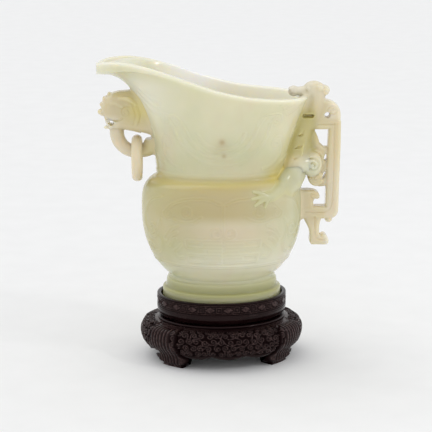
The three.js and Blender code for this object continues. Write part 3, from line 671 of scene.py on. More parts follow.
def wall_distance(x, y, z):
    """How far points lie outside the vessel's outer face, along level lines from its axis."""
    share = np.maximum(belly_share(z), 0.1)
    c = x / np.maximum(np.hypot(x, 1.5 * y), 1e-6)
    for _ in range(2):
        t = np.clip((z - NECK_Z) / neck_halves(0.5, c)[2], 0, 1)
        neck_length, neck_depth, _ = neck_halves(t, c)
        c = (x / neck_length) / np.maximum(np.hypot(x / neck_length, y / neck_depth), 1e-6)
    half_length = np.where(z < NECK_Z, BELLY_HALF_LENGTH * share, neck_length)
    half_depth = np.where(z < NECK_Z, BELLY_HALF_DEPTH * share, neck_depth)
    out = np.maximum(np.hypot(x / half_length, y / half_depth), 1e-3)
    return np.hypot(x, y) * (1 - 1 / out)


def even_heights(low, high, count):
    """Heights that divide the belly's outline into equal lengths."""
    z = np.linspace(low, high, 4000)
    length = np.cumsum(np.hypot(np.gradient(z), np.gradient(BELLY_HALF_LENGTH * belly_share(z))))
    return np.interp(np.linspace(length[0], length[-1], count), length, z)


def arc_from_middle(angle, half_length, half_depth):
    """Length along an oval from the middle of its nearer long side, the same to left and right."""
    turn = np.linspace(0, math.pi / 2, 500)
    length = np.cumsum(np.hypot(half_length * np.cos(turn), half_depth * np.sin(turn))) * turn[1]
    turned = np.abs(np.abs((angle + math.pi) % (2 * math.pi) - math.pi) - math.pi / 2)
    return np.interp(turned, turn, length)


def drawn(lines, curves, spirals):
    """Flat strokes: straight lines, smooth curves and spirals."""
    strokes = [np.array(points, dtype=float) for points in lines]
    strokes += [smooth_path(points, 6) for points in curves]
    return strokes + [spiral(*numbers) for numbers in spirals]


def belly_strokes():
    """One half of a beast mask with barred jaws and scrolled limbs, as (length from the middle, height)."""
    bars = [(79.0, 20), (76.8, 12), (74.6, 17), (72.4, 9), (70.2, 18), (68.0, 12), (65.8, 19)]
    lines = [[(1.5, z), (reach, z)] for z, reach in bars]
    lines += [
        [(20, 79.0), (22.5, 79.0), (22.5, 74.6), (17, 74.6)],
        [(18, 70.2), (22.5, 70.2), (22.5, 65.8), (19, 65.8)],
        [(0, 100), (0, 82)],
        [(0, 62.2), (70, 62.2)],
    ]
    curves = [
        [(2, 101), (9, 103.5), (20, 103.5), (30, 100.5), (37, 94.5)],
        [(13, 93), (18, 90.2), (24, 89.6), (31, 91.2)],
        [(27, 87.5), (32, 85), (36.5, 80)],
        [(28, 83.5), (32, 81.5), (36, 77)],
        [(29.5, 79.5), (32, 78), (35, 74.5)],
        [(26, 76), (29, 73.5), (32, 71), (30, 67.5), (26, 68)],
        [(40, 103), (48, 100), (54, 93), (55.5, 86), (51, 79.5)],
        [(39.5, 90), (42, 83), (40.5, 76), (44, 70), (51, 68.5)],
    ]
    spirals = [
        ((4.2, 84), 4.2, 1.4, 180, 1.0),
        ((33.6, 94), 3.4, 0.9, 5, -1.1),
        ((22, 95.6), 2.9, 2.9, 0, 1.0),
        ((47, 83), 5.0, 1.2, -40, -1.3),
        ((52, 72), 3.5, 1.0, -95, 1.1),
    ]
    return drawn(lines, curves, spirals)


def neck_strokes():
    """One half of the neck's design: wide nested pendants, with scrolls and plumes towards the ends."""
    curves = [
        [(0, 131.6), (5, 132.4), (9.5, 135.4), (12.5, 141)],
        [(0, 126.9), (6, 127.6), (11.5, 130.5), (16.8, 137), (19.5, 146)],
        [(0, 121.6), (7, 122.4), (14, 125.2), (20.5, 130.4), (25, 138), (26.5, 146.5)],
        [(19.5, 146), (22.5, 150.5), (28, 151.5)],
        [(26, 119.5), (33, 121.5), (38.5, 128), (37, 135.5)],
        [(40, 122), (47, 125), (52, 131), (53, 138)],
        [(30, 158), (35, 160.5), (40, 165)],
        [(33, 155), (38, 157.8), (43, 163)],
        [(36, 151.5), (41, 154.5), (46, 161)],
    ]
    spirals = [
        ((29.5, 148.2), 3.5, 1.0, 110, -1.2),
        ((33.4, 134.6), 3.7, 1.0, 15, 1.3),
        ((49, 138.5), 4.0, 1.0, -5, 1.2),
    ]
    return drawn([[(0, 115.2), (70, 115.2)]], curves, spirals)


RIBBON_RISE = 0.36
RIBBON_GROOVE = 0.24
RIBBON_REACH = 2.0
NECK_DESIGN_HALF_LENGTH = 43.0


def ribbon_height(distance):
    """Low raised ribbons with a fine line along the middle of each."""
    raised = RIBBON_RISE * (1 - smoothstep(0.5, 1.4, distance))
    return raised - RIBBON_GROOVE * (1 - smoothstep(0.1, 0.5, distance))


# The recess below the foot and the foot itself, as offsets from their ovals and heights
FOOT_RECESS = [
    (-1.0, FOOT_HOLLOW), (-0.2, FOOT_HOLLOW - 0.3), (0.0, FOOT_HOLLOW - 1.0), (0.2, 0.3), (0.8, 0.0),
]
FOOT_PROFILE = [
    (-0.8, 0.0), (-0.2, 0.2), (0.0, 0.8), (0.0, 3.6), (-0.1, 6.4), (-0.5, 7.2), (-1.3, 7.6), (-1.9, 8.0),
    (-2.2, 8.9), (-2.5, 10.8), (-2.7, 12.2), (-3.2, 12.8), (-3.5, 13.3), (-3.4, 13.8), (-4.0, 14.6),
]
BELLY_ROWS = 150
NECK_ROWS = 140
CREST_ROWS = 8
INNER_ROWS = 44
CAVITY_ROWS = 30
CREST_RISE = RIM_ROUND - 0.10
CAVITY_FLOOR = WAIST_Z + FLOOR_THICKNESS
CAVITY_TOP = NECK_Z - INNER_SHOULDER_DROP


def crowded(rows):
    """Shares from 0 to 1 that lie closer together towards 1."""
    return np.sin(0.5 * math.pi * np.arange(rows + 1) / rows)


def vessel_rows(angle):
    """The body's ovals, from below its foot to the floor inside, and where belly and neck start and end."""
    rows = []
    for inset, profile in ((FOOT_RING_WIDTH, FOOT_RECESS), (0.0, smooth_path(FOOT_PROFILE, 3))):
        for offset, z in profile:
            grow = offset - inset
            rows.append(oval(FOOT_HALF_LENGTH + grow, FOOT_HALF_DEPTH + grow, FOOT_BOTTOM + z, angle))
    belly_start = len(rows)
    rows += [belly_row(z, angle) for z in even_heights(WAIST_Z, NECK_Z - 0.01, BELLY_ROWS)]
    neck_start = len(rows)
    rows += [neck_row(t, angle) for t in crowded(NECK_ROWS)]
    neck_end = len(rows)
    outside, inside = neck_row(1.0, angle), neck_row(1.0, angle, NECK_WALL)
    for turn in math.pi * np.arange(1, CREST_ROWS) / CREST_ROWS:
        crest = (outside + inside) / 2 + (outside - inside) / 2 * math.cos(turn)
        crest[:, 2] += CREST_RISE * math.sin(turn)
        rows.append(crest)
    rows += [neck_row(t, angle, NECK_WALL) for t in crowded(INNER_ROWS)[::-1]]
    for share in crowded(CAVITY_ROWS)[::-1]:
        rows.append(belly_row(CAVITY_FLOOR + (CAVITY_TOP - CAVITY_FLOOR) * share, angle, BELLY_WALL))
    points = np.array(rows)
    for corner, reach in ((belly_start, 4), (neck_start, 5)):
        for _ in range(2 * reach):
            part = points[corner - reach:corner + reach]
            points[corner - reach + 1:corner + reach - 1] = (part[:-2] + 2 * part[1:-1] + part[2:]) / 4
    return points, belly_start, neck_start, neck_end


def vessel_body(carvings):
    columns = VESSEL_SIDES
    angle = 2 * math.pi * np.arange(columns) / columns
    points, belly_start, neck_start, neck_end = vessel_rows(angle)
    belly_arc = arc_from_middle(angle, BELLY_HALF_LENGTH, BELLY_HALF_DEPTH)
    neck_arc = arc_from_middle(angle, NECK_DESIGN_HALF_LENGTH, NECK_HALF_DEPTH)
    height = np.zeros(points.shape[:2])
    lines = np.zeros(points.shape[:2])
    for first, last, along, strokes in (
        (belly_start, neck_start, belly_arc, belly_strokes()),
        (neck_start, neck_end, neck_arc, neck_strokes()),
    ):
        z = points[first:last, :, 2]
        near = stroke_distance(np.broadcast_to(along, z.shape), z, strokes, RIBBON_REACH)
        height[first:last] = ribbon_height(near)
        lines[first:last] = 1 - smoothstep(0.2, 0.9, near)
    rim_fade = smoothstep(0.0, 3.0, rim_height(points[..., 0]) - RIM_ROUND - points[..., 2])
    height[neck_start:neck_end] *= rim_fade[neck_start:neck_end]
    points[belly_start:neck_end] += (height[..., None] * grid_normals(points))[belly_start:neck_end]

    rows = len(points)
    faces = grid_faces(rows, columns)
    faces += fan(0, columns, rows * columns, True)
    faces += fan((rows - 1) * columns, columns, rows * columns + 1, False)
    centres = [(0, 0, FOOT_BOTTOM + FOOT_HOLLOW), (0, 0, CAVITY_FLOOR)]
    points = np.vstack([points.reshape(-1, 3), centres])
    tones = vessel_tones(points, np.append(lines.reshape(-1), [0, 0]), carvings)
    make_piece("jade_body", points, faces, jade, "vessel", ["vessel_body"], tones)


# Brown spots on the near side of the neck: x, z, size and depth
NECK_SPOTS = [(-0.5, 136.1, 1.7, 0.7), (0.6, 127.9, 1.3, 0.6), (-1.0, 133.0, 5.0, 0.30)]


def vessel_tones(points, lines, carvings):
    """Tones of the body: painted shade in the neck's groove and round the carvings' roots, painted glow and
    highlight in the thin tone, and other tints and brown spots.

    Each zone is bounded in millimetres or degrees, and adds its share to one tone or to several.
    """
    x, y, z = points.T
    angle = np.abs(np.degrees(np.arctan2(y / BELLY_HALF_DEPTH, x / BELLY_HALF_LENGTH)))
    facing = np.sin(np.radians(angle))
    belly = between(z, 56, 64, 108, 112)
    left_belly = belly * smoothstep(0, -35, x)
    groove = around(z, NECK_Z, 2.9)
    shoulder = between(z, 87, 95, 109, 113) * facing ** 2.5
    handle_root = around(angle, 0, 24) * between(z, 108, 118, 138, 156)
    leg_root = around(angle, 36, 12) * around(z, 114, 8)
    beast_root = around(angle, 180, 14) * around(z, 140, 16)
    # Olive: painted shade in the groove and round the roots of handle, legs and beast; also a little on the
    # shoulder and on the belly's lower left
    olive = 0.48 * groove + 0.12 * shoulder + 0.6 * handle_root + 0.52 * leg_root + 0.3 * beast_root
    olive += 0.13 * belly * smoothstep(-5, -40, x)
    # Tan: painted shade in the groove and by the legs, with deeper tan on the shoulder, on the belly's left,
    # along the carved lines and in brown spots
    tan = 0.72 * shoulder + 0.31 * groove + 0.45 * leg_root + 0.20 * left_belly + 0.06 * lines
    for spot_x, spot_z, size, depth in NECK_SPOTS:
        tan += depth * around(x, spot_x, size) * around(z, spot_z, size) * (y < 0)
    # Moss: green on the foot, the belly's ends, the lower neck, the belly's left and the carved lines, and
    # painted shade in the groove and by the legs
    moss = 0.95 * smoothstep(55, 45, z) + 0.25 * smoothstep(0.75, 0.2, facing) * belly
    moss += 0.12 * around(z, 122, 9) + 0.18 * groove + 0.34 * leg_root
    moss += 0.22 * left_belly + 0.05 * lines * belly
    # Thin: painted glow inside the neck, less towards the spout's tip; outside, painted glow on the lip,
    # spout, upper neck and low belly, and a painted highlight along the foot's lower edge
    inside = smoothstep(-1.5, -3.0, wall_distance(x, y, z)) * (z > NECK_Z - 10)
    lip = smoothstep(3.6, 1.2, rim_height(x) - z) * (z > NECK_Z)
    spout_wall = smoothstep(-15, -50, x) * between(z, 140, 156, 166, 175)
    spout_tip = smoothstep(-60, -70, x) * smoothstep(166, 172, z)
    low_belly_glow = around(z, 64, 7) * smoothstep(-42, -18, x)
    outer = 0.20 * lip + 0.32 * spout_wall + 0.14 * spout_tip + 0.10 * smoothstep(118, 150, z)
    outer += 0.20 * low_belly_glow + 0.10 * smoothstep(43.5, 41, z)
    inner = 0.58 + 0.28 * around(x, -15, 15) - 0.30 * smoothstep(-28, -46, x) - 0.06 * smoothstep(20, 36, x)
    clear = np.ones(len(x))
    for carving in carvings:
        clear *= smoothstep(0.0, 2.0, carving.reach_to(points))
    return {
        "olive": np.clip(olive, 0, 0.92) * (1 - inside),
        "tan": np.clip(tan, 0, 0.9),
        "moss": np.clip(moss, 0, 0.96),
        "blush": 0.55 * around(z, 84, 8) * facing ** 3,
        "thin": np.where(inside > 0.5, inside * inner, outer),
        "clear": clear,
    }


# Beast head, loop and loose ring

HOLLOW_REACH = 1.6
RING_SWELL = 0.25


def carved_piece(name, carving, nodes, tones):
    """A carving's surface as a jade piece. Tones takes its points and how hollow each lies."""
    points, quads = carving.surface()
    shades = tones(points, carving.hollows(points, HOLLOW_REACH))
    shades["clear"] = smoothstep(0.8, 5.0, wall_distance(*points.T))
    make_piece(name, points, quads.tolist(), jade, "vessel", nodes, shades)
    return carving


def at_depth(line, depth):
    """Flat (x, z) points at one depth across the vessel."""
    return [(x, depth, z) for x, z in line]


def drilled(block, x, z, waist, mouth, half_depth):
    """A hole drilled from both faces, wider at its mouths."""
    path = [(x, y, z) for y in (-1.6 * half_depth, 0, 1.6 * half_depth)]
    block.cut(rod(path, [mouth, waist, mouth]), 0.4)


def beast_tones(points, hollow):
    # Painted shade in olive and moss where the head and loop meet the neck and in hollows; painted glow
    # (thin) on the loop and the chin
    x, _, z = points.T
    root = around(x, -48.5, 8.5) * around(z, 151.5, 8)
    loop_root = around(x, -42, 5) * around(z, 128, 6)
    chin = smoothstep(-58, -63, x) * smoothstep(150, 146, z)
    olive = 0.06 + 0.68 * root + 0.15 * around(z, 161, 2.5) + 0.5 * loop_root + 0.15 * hollow
    return {
        "olive": np.clip(olive, 0, 0.9),
        "tan": 0.05,
        "moss": 0.36 * root + 0.3 * loop_root,
        "blush": 0.55,
        "thin": 0.16 * np.maximum(smoothstep(140, 130, z), chin),
    }


def beast_and_loop():
    block = Carving((-76, -12, 118), (-33, 12, 168), FINE_STEP)
    head = [
        (-38, 163), (-54.5, 162.4), (-60.4, 162), (-64.5, 161), (-68.2, 159), (-70.4, 156.2), (-71.2, 152.8),
        (-70.7, 149.4), (-69.4, 146.6), (-68.4, 143.4), (-67.4, 140.8), (-65.6, 139.5), (-57.5, 139.2),
        (-52.5, 138.3), (-47.2, 137), (-38, 135.5),
    ]
    block.add(slab(head, 8.4, 6.2))
    block.add(ball((-71.3, 0, 149.5), (1.9, 2.8, 1.8)))
    block.add_balls((-70.4, 2.6, 149.0), (1.6, 1.5, 1.5), 0.6)
    for x, z in ((-66.2, 160.2), (-69.2, 157.6), (-70.9, 154.2)):
        block.add(ball((x, 0, z), (1.1, 3.4, 1.1)))
    block.add(rod([(-66, 0, 141), (-68.8, 0, 140.2)], [1.7, 0.8], 1.6))
    brow = [(-69.6, 4.2, 153.2), (-66.0, 6.8, 155.6), (-61.5, 7.9, 155.4), (-58.0, 8.2, 153.0)]
    block.add_limbs(brow, [0.9, 1.2, 1.1, 0.7], 0.8, 4)
    block.add_balls((-66.0, 6.6, 151.8), (1.8, 1.5, 1.7), 0.4)
    ear = [(-60.0, 7.4, 158.4), (-55.0, 8.0, 158.2), (-51.0, 8.0, 155.4)]
    block.add_limbs(ear, [1.0, 1.5, 1.0], 0.9, 4)
    mouth = [(-70.0, 3.2, 145.6), (-66.0, 6.4, 146.0), (-61.0, 8.2, 145.2), (-58.0, 8.6, 147.0)]
    block.cut_lines(mouth, [0.8, 0.7, 0.65, 0.5], 0.3, 4)
    block.cut_lines(at_depth(spiral((-56.2, 150.6), 3.2, 0.8, 60, 1.5), 8.5), 0.45, 0.5)
    for x in (-52.4, -49.4):
        block.cut_lines([(x, 8.6, 154.5), (x + 1.6, 8.6, 148.5), (x - 0.2, 8.4, 142.0)], 0.45, 0.5, 5)
    loop = arc((RING_X, BAR_Z + LOOP_RADIUS), LOOP_RADIUS, 166, 340, 30)
    block.add(rod(at_depth(loop, 0), [4.3, 4.2, 4.0, 3.9, 3.95, 5.0, 6.8]), 1.2)
    block.root(2.6)
    drilled(block, -65.1, 143.6, 1.1, 1.7, 5.0)
    gap = [
        (-47.5, 138.0), (-41.6, 136.2), (-40.9, 134.9), (-41.9, 133.6), (-45.1, 133.4), (-45.9, 132.2),
        (-46.6, 130.4),
    ]
    block.cut(slab(gap, 12, 0.3), 0.5)
    return carved_piece("jade_beast", block, ["beast_head", "ring_loop"], beast_tones)


def loose_ring():
    turns, sides = 160, 40
    middle = RING_BORE_RADIUS + RING_THICKNESS / 2
    u = 2 * math.pi * np.arange(turns)[:, None] / turns
    v = 2 * math.pi * np.arange(sides)[None, :] / sides
    radius = middle + RING_THICKNESS / 2 * np.cos(v) + 0 * u
    x = RING_X + (RING_WIDTH / 2 + RING_SWELL) * np.sin(v) + 0 * u
    z = RING_BORE_TOP - RING_BORE_RADIUS + radius * np.cos(u)
    points = np.stack([x, radius * np.sin(u), z], axis=-1).reshape(-1, 3)
    tones = {"olive": 0.10, "moss": 0, "blush": 0.65, "tan": 0, "thin": 0.16, "clear": 1}
    faces = grid_faces(turns, sides, wrap_rows=True)
    make_piece("jade_ring", points, faces, jade, "ring", ["loose_ring"], tones)


# Handle and dragon

HAUNCH = (53.2, 6.0, 118.8)
HAUNCH_RADII = (6.4, 4.9, 7.8)
PAW = (26.6, 104.0)
TOE_TIPS = [(17.4, 107.4), (16.8, 103.5), (18.4, 99.7), (24.2, 98.4)]


def dragon_handle():
    half = HANDLE_DEPTH / 2
    block = Carving((36, -17, 66), (73, 17, 171), CARVING_STEP)
    handle_frame(block, half)
    dragon_body(block)
    dragon_head(block)
    block.root(2.2)
    handle_cuts(block, half)
    nodes = ["handle_frame", "dragon_head", "dragon_neck", "dragon_torso", "dragon_tail"]
    return carved_piece("jade_handle", block, nodes, handle_tones)


def handle_tones(points, hollow):
    # Painted shade in olive and tan near the wall and in olive and moss in hollows; painted glow (thin) on
    # the crown, the frame's ends, the muzzle, the bar and the haunch
    x, y, z = points.T
    root = np.exp(-np.maximum(wall_distance(x, y, z), 0) / 5) * between(z, 100, 116, 146, 158)
    haunch = around(x, 52, 8) * around(z, 117, 8) * smoothstep(5, 8, np.abs(y))
    trunk = smoothstep(58, 53, x) * between(z, 122, 128, 147, 154) * (1 - haunch)
    crown = smoothstep(150, 162, z)
    ends = smoothstep(61, 66, x) * smoothstep(143, 147, z) + 0.5 * smoothstep(84, 78, z)
    bar = smoothstep(60, 63, x) * smoothstep(143, 139, z)
    muzzle = smoothstep(49, 45, x) * smoothstep(155, 158, z)
    olive = 0.16 + 0.35 * root * (1 - trunk) + 0.15 * trunk + 0.2 * hollow - 0.1 * crown - 0.3 * haunch
    olive -= 0.08 * bar * smoothstep(125, 105, z)
    thin = 0.05 + 0.13 * crown + 0.22 * ends + 0.12 * muzzle + 0.11 * haunch
    thin += 0.14 * bar * smoothstep(128, 105, z)
    return {
        "olive": np.clip(olive, 0, 0.92),
        "tan": np.clip(0.10 + 0.30 * root + 0.45 * trunk - 0.3 * haunch, 0, 1),
        "moss": 0.06 * hollow + 0.75 * trunk + 0.2 * haunch,
        "blush": np.clip(0.5 - 0.1 * crown - 0.6 * haunch, 0, 1),
        "thin": np.clip(thin, 0, 1) * (1 - root),
    }


def handle_frame(block, half):
    """Squared frame with its lobe, hook, spur and the pierced web that the dragon lies on."""
    reach, low_reach = HANDLE_REACH, HANDLE_REACH - 0.8
    arm_bottom, arm_top = UPPER_ARM_BOTTOM + 0.8, LOWER_ARM_TOP - 0.9
    bars = [
        (41.5, UPPER_ARM_TOP), (reach - 0.6, UPPER_ARM_TOP), (reach, UPPER_ARM_TOP - 1.2), (reach, 130),
        (low_reach, 91.5), *arc((64.4, 90.2), 5.4, 10, -80), (44.5, LOWER_ARM_BOTTOM), (44.5, arm_top),
        (62.1, arm_top), (62.4, 115), (63.4, arm_bottom), (41.5, arm_bottom),
    ]
    lobe_round = [(61.7, 156.7), (65.1, 155.7), (67.8, 154.0), (69.6, 151.3), (70.4, 148.0), (70.3, 145.4)]
    lobe = [(44, 143), (45.5, 150), (48.5, 158.5), (60.0, 158.5), *smooth_path(lobe_round, 3), (69.6, 143)]
    web_round = [(58.2, 104.2), (54.8, 105.4), (52.5, 107.0), (51.2, 109.6), (49.8, 113.4)]
    web = [
        (38, 141), (53.4, 141), (56.0, 136.6), (57.0, 134.4), (58.2, 130.6), (60.6, 128.4), (64.5, 128.2),
        (64.5, 104.8), *smooth_path(web_round, 3), (45, 113.5), (38, 116),
    ]
    hook_round = [(58.4, 97.6), (58.4, 99.2), (57.3, 101.0), (55.2, 102.1), (51.3, 102.5)]
    hook = [(44.5, 91), (54.9, 91), (54.7, 95.4), (55.6, 97.1), (57.2, 96.9), *smooth_path(hook_round, 3)]
    hook.append((44.5, 102.3))
    spur = [
        (49.4, 87), (49.4, 84.3),
        *smooth_path([(51.2, 80.8), (52.5, 77.6), (52.8, 74.3), (52.7, 71.0), (53.9, 68.9)], 3),
        *smooth_path([(63.2, 68.8), (64.2, 70.2), (63.8, 72.8), (62.3, 75.2), (60.6, 75.4), (59.4, 74.5)], 3),
        (58.7, 75.4), (58.5, 79.7), (58.8, 82), (60, 87),
    ]
    for outline, inset, edge, blend in (
        (bars, 0.0, 1.8, 0.8), (lobe, 0.3, 2.2, 0.6), (web, 1.2, 2.0, 0.5), (hook, 0.2, 1.6, 0.5),
        (spur, 0.4, 1.6, 0.5),
    ):
        block.add(slab(outline, half - inset, edge), blend)
    block.add(ball((64.2, 0, 84.4), (2.4, 4.4, 2.3)), 0.6)


def dragon_body(block):
    """Trunk, flanks that lie along the wall, haunches, tail and the curl at its end."""
    trunk = [(56.0, 159), (55.2, 152), (52.6, 145), (49.6, 138), (48.6, 131), (50.0, 125)]
    block.add(rod(smooth_path(at_depth(trunk, 0), 5), [5.2, 5.2, 5.0, 5.0, 5.4, 6.2], 1.2), 1.2)
    flank = [(48.0, 3.0, 144), (46.0, 6.0, 136), (44.4, 8.0, 128), (42.0, 10.0, 119), (40.0, 12.0, 113)]
    block.add_limbs(flank, [3.0, 4.6, 5.2, 5.2, 5.0], 5.0, 5)
    block.add_balls(HAUNCH, HAUNCH_RADII, 1.6)
    block.add_limbs([(51.0, 6.6, 119.6), (46.2, 9.4, 118.6), (42.4, 11.4, 116.0)], [4.8, 4.9, 3.2], 2.5)
    tail = [(49.8, 125.0), (53.8, 126.6), (58.2, 125.2), (60.2, 121.4), (59.4, 116.6), (58.2, 113.4)]
    block.add(rod(smooth_path(at_depth(tail, 0), 5), [2.2, 2.1, 1.9, 1.7, 1.7, 1.7], 2.7), 0.5)
    block.add(slab(arc((56.2, 109.6), 4.7, 0, 345, 24), 5.4, 1.6), 0.5)
    block.add(rod([(59.0, 0, 107.6), (65, 0, 107.2)], [2.0, 2.6], 1.7))
    block.add_limbs([(47.6, 8.6, 134.0), (46.8, 11.4, 130.0), (46.4, 13.0, 126.0)], [0.9, 1.5, 1.0], 0.8, 4)
    for rise in range(4):
        block.add(ball((60.2 - 1.6 * rise, 0, 154.0 - 4.4 * rise), (1.3, 1.2, 1.9), 15), 0.6)


def dragon_head(block):
    """Domed head that bites the rim, with its muzzle over the mouth."""
    block.add(ball((54.8, 0, 161.6), (7.0, 5.9, 5.4)), 1.2)
    block.add(ball((54.3, 0, 163.3), (5.6, 5.0, 4.1)), 1.0)
    block.add(ball((60.6, 0, 161.9), (3.4, 5.0, 3.2)), 0.6)
    block.add_balls((58.0, 4.6, 163.6), (2.2, 1.6, 1.9), 0.7)
    block.add(rod([(51, 0, 161.2), (44, 0, 161.4)], [3.4, 2.5], 1.4))
    block.add(ball((42.5, 0, 161.5), (3.2, 3.9, 3.2)), 0.4)
    block.add_balls((40.6, 2.0, 162.8), (1.1, 1.1, 1.0), 0.4)
    block.add_balls((50.6, 4.6, 163.2), (1.4, 1.2, 1.3), 0.3)
    block.cut_lines([(39.8, 3.2, 160.2), (43.6, 3.6, 159.9), (48.4, 5.0, 160.0)], [0.4, 0.4, 0.35], 0.3, 4)
    block.cut_lines(at_depth(spiral((60.6, 161.8), 2.0, 0.5, 200, 1.2), 6.0), 0.4, 0.4)


def handle_cuts(block, half):
    """Piercings and incised lines of the handle, folds of the flanks and the haunches' swirls."""
    for outline in (
        [(60.7, 120.6), (60.9, 122.8), (61.7, 124.4), (62.7, 123.2), (62.4, 120.4), (61.6, 119.8)],
        [(62.1, 114.8), (61.8, 111.7), (60.6, 109.2), (59.0, 108.6), (60.0, 111.2), (61.0, 113.2)],
    ):
        block.cut(slab(outline, 2.6 * half, 0.3), 0.4)
    drilled(block, 62.4, 147.6, 1.3, 2.2, half)
    block.cut_lines([(48.6, 6.2, 147.2), (53.4, 6.2, 147.2)], 1.15, 0.4, flat=2.6)
    for line, depth in (
        (spiral((65.6, 150.0), 3.4, 0.9, 200, -1.4), half - 0.3),
        ([(66.6, 142.5), (66.4, 110), (66.0, 97)], half),
        (smooth_path([(66.0, 97), (64.8, 91.5), (60.5, 89.0), (50, 88.9)], 6), half),
        (spiral((54.6, 98.9), 2.5, 0.7, -20, 1.4), half - 0.2),
        (smooth_path([(55.6, 86), (55.8, 78), (57.2, 73), (61.6, 71.6)], 6), half - 0.4),
        ([(56.5, 142.0), (66.6, 142.0)], half),
        (spiral((56.2, 109.6), 3.5, 0.8, 90, 1.6), half + 0.4),
    ):
        block.cut_lines(at_depth(line, depth), 0.4, 0.4)
    for start, end in (
        ((48.4, 9.6, 141.0), (44.2, 9.8, 135.4)),
        ((48.2, 12.0, 135.0), (43.0, 12.2, 129.0)),
        ((47.2, 13.6, 129.2), (42.4, 13.8, 123.2)),
    ):
        middle = np.add(start, end) / 2 + (0.8, 0.5, -1.2)
        block.cut_lines([start, middle, end], [0.5, 0.8, 0.4], 0.6, 5)
    x, z = spiral((HAUNCH[0] + 0.6, HAUNCH[2] - 0.4), 4.8, 0.8, 150, -1.5).T
    across = ((x - HAUNCH[0]) / HAUNCH_RADII[0]) ** 2 + ((z - HAUNCH[2]) / HAUNCH_RADII[2]) ** 2
    face = HAUNCH[1] + HAUNCH_RADII[1] * np.sqrt(np.maximum(1 - across, 0))
    block.cut_lines(np.column_stack([x, face, z]), 0.6, 0.7)


def shoulder_y(x, z):
    """Distance of the belly's outer face from the middle plane."""
    share = belly_share(z)
    return BELLY_HALF_DEPTH * share * math.sqrt(1 - (x / (BELLY_HALF_LENGTH * share)) ** 2)


def leg_tones(points, hollow):
    # Painted shade in olive where the leg meets the wall and in hollows; painted glow (thin) towards the
    # haunch
    x, y, z = points.T
    edge = around(wall_distance(x, y, z), 0.4, 1.6)
    olive = 0.75 * edge * smoothstep(108, 114, z) + 0.25 * edge + 0.15 * hollow
    return {
        "olive": np.clip(olive, 0, 0.9),
        "tan": 0.15 * smoothstep(52, 60, x),
        "moss": 0.32 + 0.06 * smoothstep(30, 26, x),
        "blush": 0,
        "thin": 0.10 * smoothstep(38, 46, x),
    }


def dragon_leg(name, side, node):
    """Hind leg in low relief on the shoulder, from below its haunch to a paw with four toes."""
    y_low, y_high = sorted((side * 0.6, side * 43.0))
    block = Carving((12, y_low, 90), (62, y_high, 132), CARVING_STEP)
    thigh = np.array([
        (51.0, 6.6, 119.6), (46.2, 9.4, 118.6), (41.4, 12.0, 115.2), (37.0, 15.6, 111.2), (33.4, 22.7, 107.3),
        (29.6, 27.2, 104.8),
    ])
    calf = np.array([(46.2, 7.6, 112.0), (42.6, 12.4, 108.6), (38.6, 17.0, 105.6)])
    block.add(rod(smooth_path(thigh * (1, side, 1), 6), [3.0, 4.4, 5.0, 4.5, 2.8, 2.2]))
    block.add(rod(calf * (1, side, 1), [3.4, 4.6, 4.1]), 3.5)
    block.add(ball((PAW[0], side * (shoulder_y(*PAW) - 0.4), PAW[1]), (3.2, 2.2, 2.5)), 2.0)
    block.root(2.4)
    for x, z in TOE_TIPS:
        middle = ((PAW[0] + x) / 2, (PAW[1] + z) / 2 + 0.5)
        route = ((PAW, 0.6), (middle, 0.3), ((x, z), -0.2))
        toe = [(place[0], side * (shoulder_y(*place) + rise), place[1]) for place, rise in route]
        block.add(rod(smooth_path(toe, 4), [1.6, 1.5, 1.15]), 0.3)
    return carved_piece(name, block, [node], leg_tones)


# Stand

RING_SECTIONS = 640
LOZENGE_PITCH = 10.8
LOZENGE_HALF_LENGTH = 3.0
LOZENGE_HALF_HEIGHT = 2.0
FRET_HALF = 2.6
FRET_DEPTH = 0.6
BORDER_HEIGHT = 3.05


def subdivided(corners, step):
    """Points along straight lines through the corners, the last corner left out."""
    points = []
    for a, b in zip(corners[:-1], corners[1:]):
        a, b = np.array(a, dtype=float), np.array(b, dtype=float)
        count = max(1, math.ceil(np.linalg.norm(b - a) / step))
        points += [a + (b - a) * i / count for i in range(count)]
    return np.array(points)


def oval_length(angle, offset):
    """Length along the oval at an offset from the vessel's foot, from angle zero."""
    turn = np.linspace(-2 * math.pi, 2 * math.pi, 8000)
    speed = np.hypot((FOOT_HALF_LENGTH + offset) * np.sin(turn), (FOOT_HALF_DEPTH + offset) * np.cos(turn))
    length = np.cumsum(speed) * (turn[1] - turn[0])
    return np.interp(angle, turn, length) - np.interp(0, turn, length)


def stand_piece(name, points, faces, tones):
    nodes = ["stand_" + name]
    make_piece("wood_" + name, points, faces, wood, "stand", nodes, tones, STAND_TURN)


